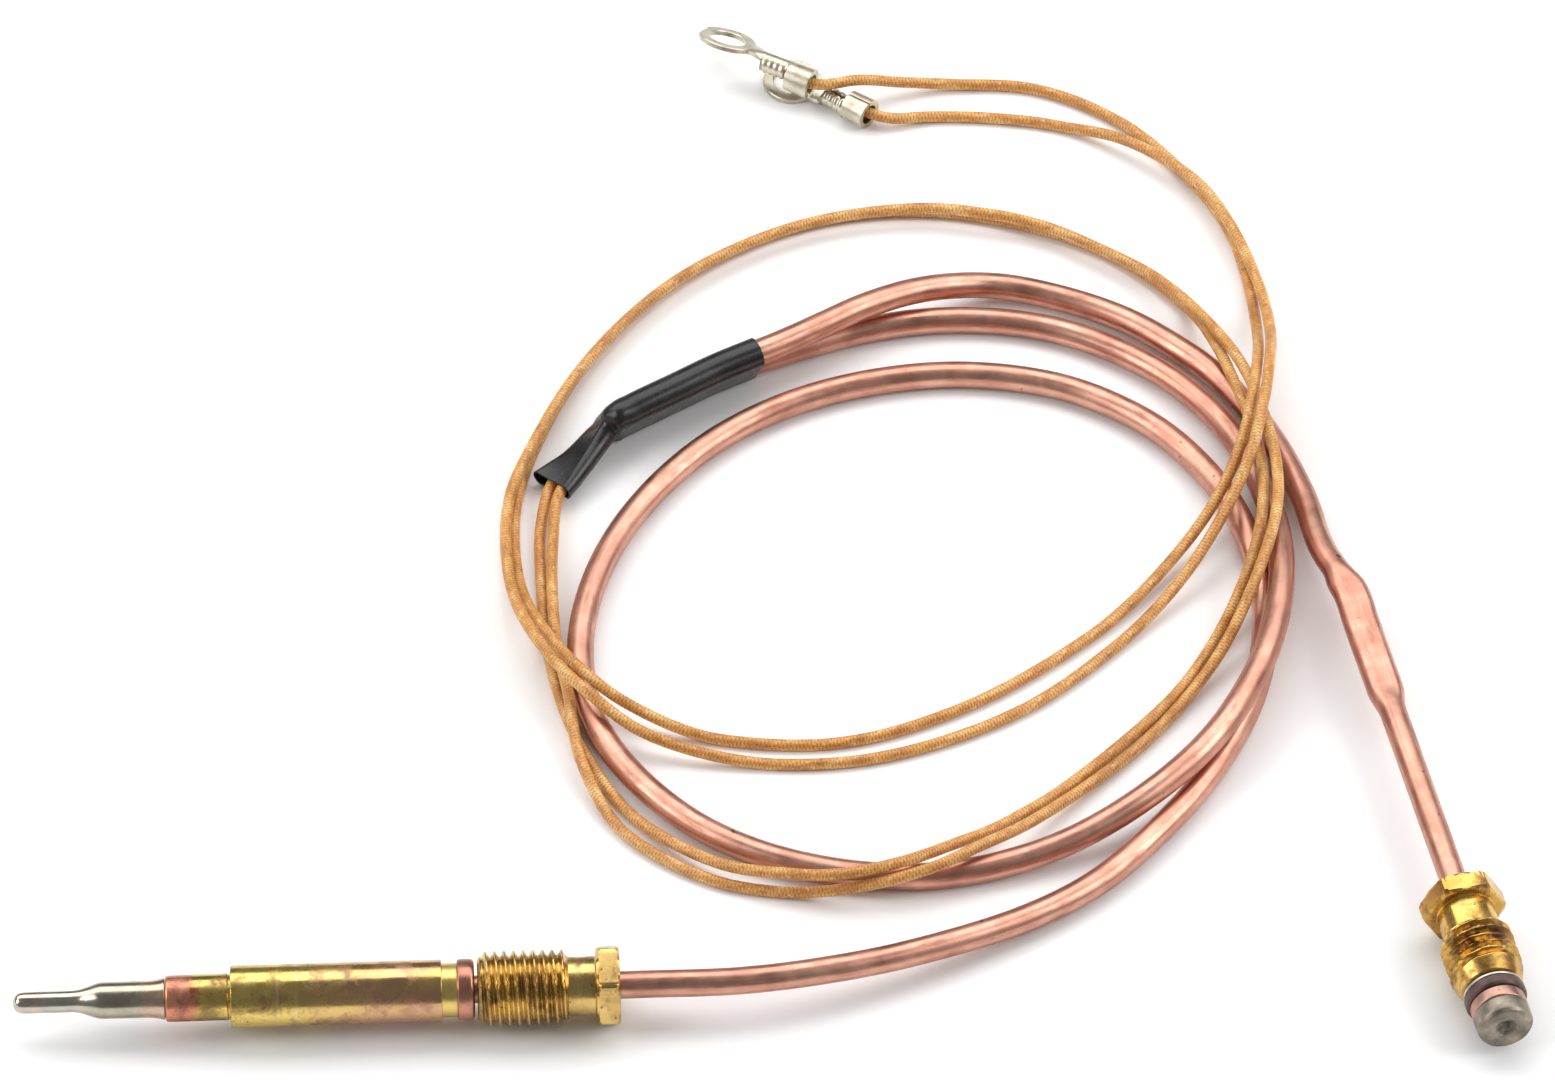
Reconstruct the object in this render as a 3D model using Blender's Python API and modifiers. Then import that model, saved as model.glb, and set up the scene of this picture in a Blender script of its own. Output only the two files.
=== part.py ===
"""Interrupted gas thermocouple: probe, two copper leads, black splice, two ring-ended wires and contact end.

Every node is one real piece.  Lengths are written in millimetres and turned into metres by MM.
"""
import math

import bmesh
import bpy
from mathutils import Matrix, Vector

MM = 0.001

# Copper leads and what runs inside them
TUBE_R = 1.45
TUBE_WALL = 0.45
LINER_R = 0.55
LINER_WALL = 0.17
CONDUCTOR_R = 0.25
TUBE_STEP = 6.4

# Insulated wires
WIRE_R = 0.625
STRAND_R = 0.4
WIRE_STEP = 7.2
CORD_SIDES = 2

# Probe, measured along its axis from the tip
PROBE_REAR_FACE = Vector((-16.45, -49.55, 4.45))
PROBE_HEADING = math.radians(2.3)
PROBE_NUT_END = 63.4
TIP_R = 1.15
SHEATH_R = 1.95
SHEATH_END = 15.4
CORE_R = 0.45
BRAZE_END = 18.4
NECK_R = 2.45
NECK_END = 22.75
BARREL_R = 3.25
BARREL_END = 44.8
GROOVE_R = 2.85
COLLAR_START = 46.4
COLLAR_R = 3.225
COLLAR_END = 48.2
PROBE_LEAD_START = 45.3
JOINT_START = 38.0
JOINT_END = 42.0

# Gland nuts: M8 x 1 thread, plain shank, 8 mm hexagon
PITCH = 1.0
THREAD_MAJOR_R = 3.95
THREAD_MINOR_R = 3.36
SHANK_R = 3.1
HEX_ACROSS_FLATS = 8.0
NUT_BORE_R = 1.65
PROBE_NUT_START = 48.5
PROBE_THREAD_LENGTH = 9.5
PROBE_SHANK_LENGTH = 2.9
PROBE_HEX_LENGTH = 2.5
PROBE_HEX_TURN = math.radians(-14.0)
CONTACT_NUT_START = 5.55
CONTACT_THREAD_LENGTH = 7.5
CONTACT_SHANK_LENGTH = 3.4
CONTACT_HEX_LENGTH = 2.4
CONTACT_HEX_TURN = math.radians(30.0)

# Contact end, measured along its axis from the end face
CONTACT_FACE = Vector((75.95, -55.3, 4.02))
LAND_END = Vector((65.0, -7.0, 4.02))
LAND_LENGTH = 15.5
LAND_BLEND = 3.5
LAND_WIDEN = 1.38
LAND_THIN = 0.76
CONTACT_LEAD_END = 5.6

# Ring terminals, measured from the ring centre towards the wire
SHEET = 0.7
RING_R = 3.3
RING_HOLE_R = 2.15
RING_CUT = 3.05
NECK_HALF_WIDTH = 1.1
STRAND_CRIMP = (4.9, 7.7)
STRAND_CRIMP_R = 1.2
STRAND_BORE_R = 0.65
WIRE_CRIMP = (8.1, 11.0)
WIRE_CRIMP_R = 1.75
WIRE_BORE_R = 1.25
WIRE_STOP = 8.8
TERMINAL_1_BASE = Vector((-5.58, 92.77, 4.68))
TERMINAL_1_ANGLES = (-26.5, -1.8, 208.3)
TERMINAL_1_MOUTH = (0.0, WIRE_CRIMP_R - 0.15)
TERMINAL_2_BASE = Vector((1.7, 90.2, 0.05))
TERMINAL_2_ANGLES = (-38.5, 0.0, 0.0)
TERMINAL_2_MOUTH = (0.4, WIRE_CRIMP_R - 0.1)

# Heat-shrink sleeve over the splice: centre, roll of the long axis, half gap, end radius
SLEEVE_WALL = 0.22
SLEEVE_STATIONS = (
    ((-2.4, 43.55, 3.42), 62.0, 1.7, 1.84),
    ((-7.1, 40.85, 3.42), 62.0, 1.7, 1.84),
    ((-11.6, 37.85, 3.4), 62.0, 1.7, 1.84),
    ((-15.6, 35.2, 3.3), 61.0, 1.65, 1.84),
    ((-17.3, 34.0, 3.1), 58.0, 1.45, 1.75),
    ((-18.2, 33.2, 2.85), 50.0, 1.0, 1.4),
    ((-19.7, 31.55, 2.5), 38.0, 0.9, 1.25),
    ((-21.9, 28.75, 2.05), 20.0, 1.05, 1.15),
    ((-23.3, 27.15, 1.8), 12.0, 1.4, 1.1),
    ((-24.6, 25.7, 1.65), 8.0, 1.7, 1.05),
)

# Centre line of the lead from the probe, from the end of its straight run to the splice
PROBE_LEAD_ROUTE = (
    (-3.9, -48.9, 4.4), (2.4, -47.7, 4.1), (12.8, -44.3, 3.1), (26.2, -37.8, 1.8),
    (34.1, -32.1, 1.45), (41.5, -23.6, 1.45), (45.9, -17.0, 1.45), (50.4, -7.2, 1.45),
    (52.4, 2.0, 1.45), (52.3, 11.6, 1.45), (49.4, 22.9, 1.45), (43.8, 32.0, 1.45),
    (38.4, 37.0, 1.45), (30.6, 41.1, 1.45), (20.3, 42.8, 1.45), (10.4, 41.6, 1.45),
    (1.6, 38.4, 1.45), (-6.1, 33.3, 1.45), (-12.4, 26.5, 1.45), (-17.5, 17.9, 1.45),
    (-20.4, 8.9, 1.45), (-21.2, 1.2, 1.45), (-20.4, -6.1, 1.45), (-18.0, -12.8, 1.45),
    (-13.6, -19.3, 1.45), (-7.7, -24.9, 1.45), (-0.6, -28.8, 1.45), (7.7, -31.1, 1.45),
    (15.9, -31.5, 1.45), (23.5, -30.1, 1.65), (30.9, -27.3, 2.3), (38.3, -22.7, 3.5),
    (45.0, -16.4, 4.6), (49.3, -9.6, 4.9), (52.9, -0.2, 4.7), (54.45, 10.9, 4.1),
    (53.5, 21.9, 2.4), (50.0, 32.9, 1.6), (44.5, 40.8, 1.45), (38.5, 45.8, 1.45),
    (31.5, 49.4, 1.45), (24.6, 51.0, 1.45), (16.9, 51.1, 1.45), (8.9, 49.4, 1.5),
    (-1.2, 44.95, 1.85), (-2.8, 44.2, 1.9), (-7.5, 41.5, 1.9), (-12.0, 38.5, 1.88),
)
PROBE_CONDUCTOR_TAIL = ((-13.6, 37.4, 1.9), (-14.9, 36.5, 1.95))

# Centre line of the lead to the contact end, from the splice to the stamped land
CONTACT_CONDUCTOR_TAIL = ((-15.2, 34.35, 4.5), (-13.9, 35.2, 4.65))
CONTACT_LEAD_ROUTE = (
    (-12.6, 36.1, 4.8), (-11.15, 37.15, 4.9), (-6.7, 40.15, 4.92), (-2.0, 42.87, 4.92),
    (-0.4, 43.75, 4.9), (4.6, 46.9, 4.85), (10.0, 50.4, 4.7), (16.6, 53.9, 3.7),
    (24.1, 55.9, 2.1), (31.3, 54.6, 1.5), (38.3, 51.3, 1.45), (43.6, 47.2, 1.45),
    (48.2, 42.6, 1.45), (53.3, 34.4, 1.5), (57.0, 24.2, 2.1), (59.0, 14.6, 3.2),
)

# Centre lines of the two insulated wires, from inside the sleeve to their terminals
WIRE_1_ROUTE = (
    (-17.5, 34.4, 2.1), (-20.1, 32.0, 1.95), (-22.6, 28.9, 1.75), (-24.6, 26.0, 1.5),
    (-25.75, 20.0, 0.63), (-25.5, 11.0, 0.63), (-24.8, 2.3, 0.63), (-21.9, -9.7, 0.63),
    (-15.7, -21.8, 0.63), (-6.4, -29.9, 1.8), (0.5, -32.6, 3.1), (6.6, -33.5, 3.95),
    (12.9, -32.0, 4.15), (18.6, -28.1, 2.7), (23.6, -23.7, 0.75), (30.1, -18.6, 0.63),
    (42.1, -5.4, 0.63), (47.0, 2.8, 1.1), (50.2, 9.3, 3.3), (52.2, 16.5, 4.6),
    (52.8, 24.0, 4.65), (52.2, 30.6, 4.2), (49.9, 39.3, 4.4), (48.0, 46.4, 3.1),
    (45.4, 53.7, 0.8), (38.19, 61.39, 0.63), (28.95, 66.36, 0.63), (15.6, 69.13, 0.63),
    (2.42, 66.82, 0.63), (-10.84, 58.48, 0.63), (-20.82, 45.88, 0.63), (-26.72, 31.65, 0.63),
    (-28.54, 22.68, 0.63), (-27.9, 11.4, 1.2), (-25.2, 2.8, 3.2), (-20.9, -4.3, 4.2),
    (-16.3, -7.6, 2.7), (-7.2, -10.9, 0.7), (6.5, -11.6, 0.63), (20.44, -6.16, 0.63),
    (34.8, 5.1, 0.63), (43.6, 15.8, 1.7), (48.0, 22.2, 4.0), (50.6, 28.2, 6.2),
    (51.9, 34.2, 7.6), (52.6, 40.4, 6.3), (52.9, 48.6, 2.2), (52.0, 58.9, 0.63),
    (50.2, 66.3, 0.63), (46.7, 73.3, 0.63), (38.88, 83.02, 0.63), (29.12, 88.63, 0.63),
    (19.4, 89.2, 0.9), (13.6, 88.5, 1.9), (10.4, 87.8, 2.9), (8.3, 87.25, 3.35),
    (6.2, 86.75, 3.35),
)
WIRE_2_ROUTE = (
    (-17.4, 33.1, 3.6), (-19.2, 31.15, 3.0), (-21.3, 28.1, 2.2), (-23.7, 24.39, 1.82),
    (-24.37, 17.03, 1.45), (-24.35, 10.0, 1.65), (-23.7, 0.9, 1.95), (-22.5, -5.6, 2.6),
    (-20.9, -15.2, 1.65), (-16.4, -24.4, 0.63), (-6.98, -31.3, 0.63), (1.03, -33.19, 0.75),
    (8.52, -33.84, 2.3), (16.1, -32.9, 4.2), (21.4, -29.4, 3.9), (27.0, -24.0, 1.8),
    (37.41, -13.55, 0.7), (43.06, -6.47, 0.86), (47.7, 0.6, 2.0), (51.2, 7.5, 4.9),
    (53.9, 16.9, 6.1), (54.3, 24.2, 5.7), (53.2, 32.6, 5.3), (51.4, 39.4, 5.2),
    (48.76, 45.4, 4.8), (42.24, 56.55, 2.4), (36.3, 61.34, 2.1), (29.31, 65.42, 2.1),
    (22.43, 67.04, 2.5), (15.06, 67.97, 2.2), (2.22, 65.29, 2.1), (-10.92, 57.01, 2.1),
    (-20.82, 44.47, 2.0), (-26.86, 31.05, 2.08), (-29.26, 22.55, 2.1), (-28.7, 9.0, 2.9),
    (-25.2, -1.1, 4.5), (-20.6, -7.7, 4.8), (-14.0, -12.0, 2.5), (-2.0, -14.6, 0.7),
    (10.9, -13.7, 0.63), (25.83, -7.07, 0.63), (37.16, 3.3, 0.7), (43.6, 11.2, 1.9),
    (48.3, 18.8, 4.2), (51.4, 25.6, 6.6), (53.0, 32.2, 8.4), (53.9, 39.6, 7.4),
    (54.2, 47.1, 4.2), (53.4, 55.4, 2.15), (50.4, 65.45, 2.08), (46.5, 72.72, 2.1),
    (38.82, 79.32, 1.8), (32.0, 82.6, 0.63), (24.0, 84.0, 0.63), (17.0, 84.1, 0.75),
    (12.9, 83.3, 1.25),
)

# Slot: base colour, roughness, metallic
SLOTS = {
    "copper_lead": ((0.72, 0.34, 0.22, 1.0), 0.35, 1.0),
    "brass": ((0.62, 0.45, 0.20, 1.0), 0.38, 1.0),
    "nut_brass": ((0.50, 0.38, 0.20, 1.0), 0.45, 1.0),
    "sheath_steel": ((0.62, 0.60, 0.56, 1.0), 0.32, 1.0),
    "braze_copper": ((0.60, 0.24, 0.15, 1.0), 0.42, 1.0),
    "collar_copper": ((0.45, 0.22, 0.17, 1.0), 0.45, 1.0),
    "constantan": ((0.50, 0.46, 0.40, 1.0), 0.40, 1.0),
    "insulator_ceramic": ((0.85, 0.82, 0.74, 1.0), 0.70, 0.0),
    "liner_fibre": ((0.80, 0.76, 0.64, 1.0), 0.80, 0.0),
    "tinned_brass": ((0.70, 0.66, 0.58, 1.0), 0.30, 1.0),
    "solder": ((0.50, 0.49, 0.46, 1.0), 0.45, 1.0),
    "washer_fibre": ((0.26, 0.14, 0.13, 1.0), 0.60, 0.0),
    "sleeve_black": ((0.02, 0.02, 0.022, 1.0), 0.40, 0.0),
    "wire_fibre": ((0.62, 0.28, 0.08, 1.0), 0.60, 0.0),
}


def clear_scene():
    for item in list(bpy.data.objects):
        bpy.data.objects.remove(item, do_unlink=True)


def new_collection(name):
    collection = bpy.data.collections.new(name)
    bpy.context.scene.collection.children.link(collection)
    return collection


clear_scene()
PARTS = new_collection("interrupted_thermocouple")
CUTTERS = new_collection("cutters")


def slot_material(slot):
    found = bpy.data.materials.get(slot)
    if found:
        return found
    colour, roughness, metallic = SLOTS[slot]
    made = bpy.data.materials.new(slot)
    made.use_nodes = True
    shader = made.node_tree.nodes["Principled BSDF"]
    shader.inputs["Base Color"].default_value = colour
    shader.inputs["Roughness"].default_value = roughness
    shader.inputs["Metallic"].default_value = metallic
    made.diffuse_color = colour
    return made


def add_node(name, data, slot, frame=None):
    """Link one named piece, in its frame's coordinates when it has a frame."""
    node = bpy.data.objects.new(name, data)
    PARTS.objects.link(node)
    data.materials.append(slot_material(slot))
    node.parent = frame
    return node


def add_cutter(name, data, frame=None):
    cutter = bpy.data.objects.new(name, data)
    CUTTERS.objects.link(cutter)
    cutter.hide_render = True
    cutter.display_type = "WIRE"
    cutter.parent = frame
    return cutter


def add_frame(name, origin, x_axis, z_axis):
    """An empty whose axes give a group of pieces their position and direction."""
    z = z_axis.normalized()
    x = (x_axis - z * x_axis.dot(z)).normalized()
    y = z.cross(x)
    frame = bpy.data.objects.new(name, None)
    PARTS.objects.link(frame)
    turn = Matrix((x, y, z)).transposed().to_4x4()
    frame.matrix_world = Matrix.Translation(origin * MM) @ turn
    return frame


def join(target, operand, operation):
    step = target.modifiers.new(operation.lower(), "BOOLEAN")
    step.operation = operation
    step.solver = "EXACT"
    step.object = operand


def soften(mesh, degrees=35.0):
    mesh.shade_smooth()
    mesh.set_sharp_from_angle(angle=math.radians(degrees))


def bmesh_data(name, build):
    """Mesh made by a function that fills a bmesh in millimetres."""
    work = bmesh.new()
    build(work)
    bmesh.ops.scale(work, vec=(MM, MM, MM), verts=work.verts)
    mesh = bpy.data.meshes.new(name)
    work.to_mesh(mesh)
    work.free()
    return mesh


# ---------------------------------------------------------------- turned pieces

def profile_data(name, profile, closed):
    """Half section: (radius, distance back from the end) pairs, at +X and running down."""
    mesh = bpy.data.meshes.new(name)
    points = [(r * MM, 0.0, -s * MM) for r, s in profile]
    edges = [(i, i + 1) for i in range(len(points) - 1)]
    if closed:
        edges.append((len(points) - 1, 0))
    mesh.from_pydata(points, edges, [])
    return mesh


def spin(piece, segments):
    screw = piece.modifiers.new("turned", "SCREW")
    screw.steps = segments
    screw.render_steps = segments
    screw.use_merge_vertices = True
    screw.merge_threshold = 1e-6
    screw.use_smooth_shade = True


def turned(name, profile, slot, frame, segments=24, closed=False):
    piece = add_node(name, profile_data(name, profile, closed), slot, frame)
    spin(piece, segments)
    return piece


def turned_cutter(name, profile, frame, segments=24):
    piece = add_cutter(name, profile_data(name, profile, False), frame)
    spin(piece, segments)
    return piece


def rod(radius, start, end):
    return [(0.0, start), (radius, start), (radius, end), (0.0, end)]


def ring_section(outer, inner, start, end):
    return [(outer, start), (outer, end), (inner, end), (inner, start)]


# ---------------------------------------------------------------- smooth routes

def smooth_route(points, step, floor, closer=0):
    """Even stations along a centripetal Catmull-Rom curve, never lower than the resting height.

    The first and last intervals, as many as closer says, get three stations each.
    """
    knots = [Vector(p) for p in points]
    knots.insert(0, 2 * knots[0] - knots[1])
    knots.append(2 * knots[-1] - knots[-2])
    fine = []
    for i in range(1, len(knots) - 2):
        fine.extend(catmull_span(knots[i - 1:i + 3], 24))
    fine.append(knots[-2])
    for p in fine:
        p.z = max(p.z, floor)
    return even_stations(fine, step, closer)


def catmull_span(p, count):
    t = [0.0]
    for a, b in zip(p, p[1:]):
        t.append(t[-1] + max((b - a).length, 1e-6) ** 0.5)
    span = []
    for k in range(count):
        u = t[1] + (t[2] - t[1]) * k / count
        a = [p[i].lerp(p[i + 1], (u - t[i]) / (t[i + 1] - t[i])) for i in range(3)]
        b = [a[i].lerp(a[i + 1], (u - t[i]) / (t[i + 2] - t[i])) for i in range(2)]
        span.append(b[0].lerp(b[1], (u - t[1]) / (t[2] - t[1])))
    return span


def even_stations(fine, step, closer):
    lengths = [0.0]
    for a, b in zip(fine, fine[1:]):
        lengths.append(lengths[-1] + (b - a).length)
    count = max(2, round(lengths[-1] / step))
    places = [i / 3.0 for i in range(3 * closer)]
    places += [float(i) for i in range(closer, count - closer)]
    places += [count - closer + i / 3.0 for i in range(3 * closer + 1)]
    stations = []
    k = 0
    for place in places:
        want = lengths[-1] * place / count
        while k < len(fine) - 2 and lengths[k + 1] < want:
            k += 1
        part = (want - lengths[k]) / max(lengths[k + 1] - lengths[k], 1e-9)
        stations.append(fine[k].lerp(fine[k + 1], part))
    return stations


def route_curve(name, stations, radius, sides, capped):
    curve = bpy.data.curves.new(name, "CURVE")
    curve.dimensions = "3D"
    curve.bevel_depth = radius * MM
    curve.bevel_resolution = sides
    curve.use_fill_caps = capped
    spline = curve.splines.new("POLY")
    spline.points.add(len(stations) - 1)
    for point, station in zip(spline.points, stations):
        point.co = (station.x * MM, station.y * MM, station.z * MM, 1.0)
    return curve


def solid_route(name, stations, radius, slot, sides, frame=None):
    return add_node(name, route_curve(name, stations, radius, sides, True), slot, frame)


def route_surface(name, stations, radius, sides):
    """Open tube surface along a route, as a mesh."""
    holder = add_cutter(name + "_route", route_curve(name, stations, radius, sides, False))
    bpy.context.view_layer.update()
    ready = holder.evaluated_get(bpy.context.evaluated_depsgraph_get())
    mesh = bpy.data.meshes.new_from_object(ready)
    curve = holder.data
    bpy.data.objects.remove(holder)
    bpy.data.curves.remove(curve)
    work = bmesh.new()
    work.from_mesh(mesh)
    bmesh.ops.remove_doubles(work, verts=work.verts, dist=1e-6)
    bmesh.ops.recalc_face_normals(work, faces=work.faces)
    work.to_mesh(mesh)
    work.free()
    mesh.materials.clear()
    return mesh


def thicken(node, wall):
    shell = node.modifiers.new("wall", "SOLIDIFY")
    shell.thickness = wall * MM
    shell.offset = -1.0
    shell.use_even_offset = True


def hollow_route(name, stations, radius, wall, slot, sides):
    mesh = route_surface(name, stations, radius, sides)
    node = add_node(name, mesh, slot)
    thicken(node, wall)
    soften(mesh)
    return node


# ---------------------------------------------------------------- gland nuts

def thread_data(name, start, length, columns=20):
    """Helical ridge of a right-hand thread, longer than needed at both ends."""
    shape = ((0.0, THREAD_MINOR_R), (0.2, THREAD_MINOR_R), (0.5, THREAD_MAJOR_R),
             (0.7, THREAD_MAJOR_R))
    turns = round(length / PITCH) + 4
    rows = turns * len(shape)
    lift = len(shape)
    low = -(start + length) - 2.0 * PITCH

    def build(work):
        grid = []
        for i in range(columns):
            angle = math.tau * i / columns
            column = []
            for k in range(rows):
                part, radius = shape[k % lift]
                z = low + PITCH * (i / columns + k // lift + part)
                place = (radius * math.cos(angle), radius * math.sin(angle), z)
                column.append(work.verts.new(place))
            grid.append(column)
        for i in range(columns - 1):
            for k in range(rows - 1):
                a, b = grid[i], grid[i + 1]
                work.faces.new((a[k], b[k], b[k + 1], a[k + 1]))
        first, last = grid[0], grid[-1]
        for k in range(rows - lift - 1):
            work.faces.new((last[k], first[k + lift], first[k + lift + 1], last[k + 1]))
        bottom = [column[0] for column in grid] + [first[k] for k in range(lift, 0, -1)]
        top = [column[-1] for column in grid]
        top += [last[k] for k in range(rows - 2, rows - lift - 2, -1)]
        for loop in (bottom, top):
            height = sum(v.co.z for v in loop) / len(loop)
            centre = work.verts.new((0.0, 0.0, height))
            for a, b in zip(loop, loop[1:] + loop[:1]):
                work.faces.new((a, b, centre))
        bmesh.ops.recalc_face_normals(work, faces=work.faces)

    return bmesh_data(name, build)


def hex_data(name, start, length, turn):
    def build(work):
        radius = HEX_ACROSS_FLATS / 2.0 / math.cos(math.pi / 6.0)
        place = Matrix.Translation((0.0, 0.0, -start - length / 2.0))
        place = place @ Matrix.Rotation(turn, 4, "Z")
        bmesh.ops.create_cone(work, cap_ends=True, segments=6, radius1=radius,
                              radius2=radius, depth=length, matrix=place)

    return bmesh_data(name, build)


def gland_nut(name, slot, frame, start, thread, shank, hexagon, hex_turn):
    """Threaded nose towards the end, plain shank, hexagon behind, bored for the lead."""
    thread_end = start + thread
    shank_end = thread_end + shank
    rear = shank_end + hexagon
    flat = HEX_ACROSS_FLATS / 2.0
    corner = flat / math.cos(math.pi / 6.0)

    nut = add_node(name, hex_data(name, shank_end, hexagon, hex_turn), slot, frame)
    chamfer = [(0.0, shank_end - 0.5), (flat - 0.15, shank_end - 0.5),
               (flat - 0.15, shank_end), (corner + 0.05, shank_end + 0.5),
               (corner + 0.05, rear - 0.35), (flat - 0.15, rear),
               (flat - 0.15, rear + 0.5), (0.0, rear + 0.5)]
    join(nut, turned_cutter(name + "_hex_chamfer", chamfer, frame), "INTERSECT")

    body = turned_cutter(name + "_shank", rod(SHANK_R, thread_end - 0.6, shank_end + 0.4), frame)
    join(nut, body, "UNION")

    ridge = add_cutter(name + "_ridge", thread_data(name + "_ridge", start, thread), frame)
    over = THREAD_MAJOR_R + 0.05
    nose = [(0.0, start), (THREAD_MINOR_R - 0.15, start), (over, start + 0.75),
            (over, thread_end - 0.45), (THREAD_MINOR_R - 0.1, thread_end), (0.0, thread_end)]
    join(ridge, turned_cutter(name + "_nose", nose, frame), "INTERSECT")
    join(nut, ridge, "UNION")

    bore = turned_cutter(name + "_bore", rod(NUT_BORE_R, start - 1.0, rear + 1.0), frame, 20)
    join(nut, bore, "DIFFERENCE")
    return nut


# ---------------------------------------------------------------- probe

def build_probe(frame):
    tip = [(0.0, 0.0), (0.55, 0.12), (0.95, 0.5), (TIP_R, 1.1), (TIP_R, 6.9), (SHEATH_R, 9.1),
           (SHEATH_R, 14.7), (SHEATH_R + 0.12, SHEATH_END), (0.65, SHEATH_END), (0.65, 1.6),
           (0.0, 1.6)]
    turned("hot_junction_tip", tip, "sheath_steel", frame)
    turned("thermo_core", rod(CORE_R, 1.9, JOINT_START + 1.8), "constantan", frame, 10)

    braze = [(SHEATH_R + 0.15, SHEATH_END + 0.1), (NECK_R - 0.08, SHEATH_END + 0.35),
             (NECK_R, SHEATH_END + 0.7), (NECK_R, BRAZE_END), (0.65, BRAZE_END),
             (0.65, SHEATH_END + 0.1)]
    turned("braze_ring", braze, "braze_copper", frame, closed=True)

    body = [(NECK_R, BRAZE_END + 0.1), (NECK_R, NECK_END), (BARREL_R - 0.25, NECK_END),
            (BARREL_R, NECK_END + 0.25), (BARREL_R, BARREL_END - 0.25),
            (BARREL_R - 0.25, BARREL_END), (2.35, BARREL_END), (2.35, NECK_END + 0.8),
            (0.65, NECK_END + 0.8), (0.65, BRAZE_END + 0.1)]
    turned("probe_body", body, "brass", frame, closed=True)

    insulator = ring_section(2.15, 0.62, NECK_END + 1.1, JOINT_START - 1.6)
    turned("ceramic_insulator", insulator, "insulator_ceramic", frame, 20, closed=True)
    joint = ring_section(1.0, 0.62, JOINT_START, JOINT_END)
    turned("core_joint", joint, "solder", frame, 12, closed=True)

    collar = [(GROOVE_R, BARREL_END + 0.1), (GROOVE_R, COLLAR_START), (COLLAR_R - 0.25, COLLAR_START),
              (COLLAR_R, COLLAR_START + 0.3), (COLLAR_R, COLLAR_END - 0.45),
              (COLLAR_R - 0.35, COLLAR_END), (1.6, COLLAR_END), (1.6, BARREL_END + 0.1)]
    turned("probe_collar", collar, "collar_copper", frame, closed=True)

    gland_nut("probe_nut", "nut_brass", frame, PROBE_NUT_START, PROBE_THREAD_LENGTH,
              PROBE_SHANK_LENGTH, PROBE_HEX_LENGTH, PROBE_HEX_TURN)


def build_probe_lead(frame):
    """Copper tube, its fibre liner and the conductor, from inside the collar to the splice."""
    place = frame.matrix_world

    def on_axis(s):
        return place @ Vector((0.0, 0.0, -s * MM)) / MM

    straight = [on_axis(s) for s in (PROBE_LEAD_START, 52.0, 58.0, 63.0, 68.0, 73.4)]
    route = straight + [Vector(p) for p in PROBE_LEAD_ROUTE]
    stations = smooth_route(route, TUBE_STEP, TUBE_R)
    hollow_route("lead_tube_probe", stations, TUBE_R, TUBE_WALL, "copper_lead", 2)
    liner = [on_axis(43.2)] + stations[:-1] + [stations[-1].lerp(stations[-2], -0.06)]
    hollow_route("lead_insulation_probe", liner, LINER_R, LINER_WALL, "liner_fibre", 1)
    tail = [Vector(p) for p in PROBE_CONDUCTOR_TAIL]
    core = [on_axis(JOINT_START + 2.2)] + stations + tail
    solid_route("lead_conductor_probe", core, CONDUCTOR_R, "copper_lead", 1)


# ---------------------------------------------------------------- contact end

def build_contact_end(frame):
    gland_nut("contact_nut", "nut_brass", frame, CONTACT_NUT_START, CONTACT_THREAD_LENGTH,
              CONTACT_SHANK_LENGTH, CONTACT_HEX_LENGTH, CONTACT_HEX_TURN)
    face = [(0.0, 0.45), (0.5, 0.42), (1.1, 0.12), (1.45, 0.0), (2.65, 0.0), (2.85, 0.12),
            (2.95, 0.4), (2.95, 2.1), (0.45, 2.1), (0.45, 1.5), (0.0, 1.5)]
    turned("contact_solder_tip", face, "solder", frame)
    band = [(2.85, 2.2), (3.0, 2.3), (3.0, 3.55), (0.6, 3.55), (0.6, 2.2)]
    turned("contact_cap", band, "copper_lead", frame, closed=True)
    washer = [(3.1, 3.65), (3.3, 3.85), (3.3, 4.85), (0.8, 4.85), (0.8, 3.65)]
    turned("insulating_washer", washer, "washer_fibre", frame, closed=True)
    rim = ring_section(3.3, 0.8, 4.95, 5.25)
    turned("contact_flange", rim, "tinned_brass", frame, closed=True)


def build_contact_lead(frame):
    place = frame.matrix_world

    def on_axis(s):
        return place @ Vector((0.0, 0.0, -s * MM)) / MM

    run = (LAND_END - CONTACT_FACE).length
    straight = [on_axis(s) for s in (run + 15.0, run + 10.0, run + 5.0, run, 42.0, 33.0, 24.0,
                                     15.0, CONTACT_LEAD_END)]
    route = [Vector(p) for p in CONTACT_LEAD_ROUTE] + straight
    stations = smooth_route(route, TUBE_STEP * 0.8, TUBE_R)
    tube = hollow_route("lead_tube_contact", stations, TUBE_R, TUBE_WALL, "copper_lead", 3)
    flatten_land(tube.data, place, run)
    liner = [stations[0].lerp(stations[1], -0.06)] + stations[1:-1] + [on_axis(5.0)]
    hollow_route("lead_insulation_contact", liner, LINER_R, LINER_WALL, "liner_fibre", 1)
    tail = [Vector(p) for p in CONTACT_CONDUCTOR_TAIL]
    core = tail + stations + [on_axis(1.9)]
    solid_route("lead_conductor_contact", core, CONDUCTOR_R, "copper_lead", 1)


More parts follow.
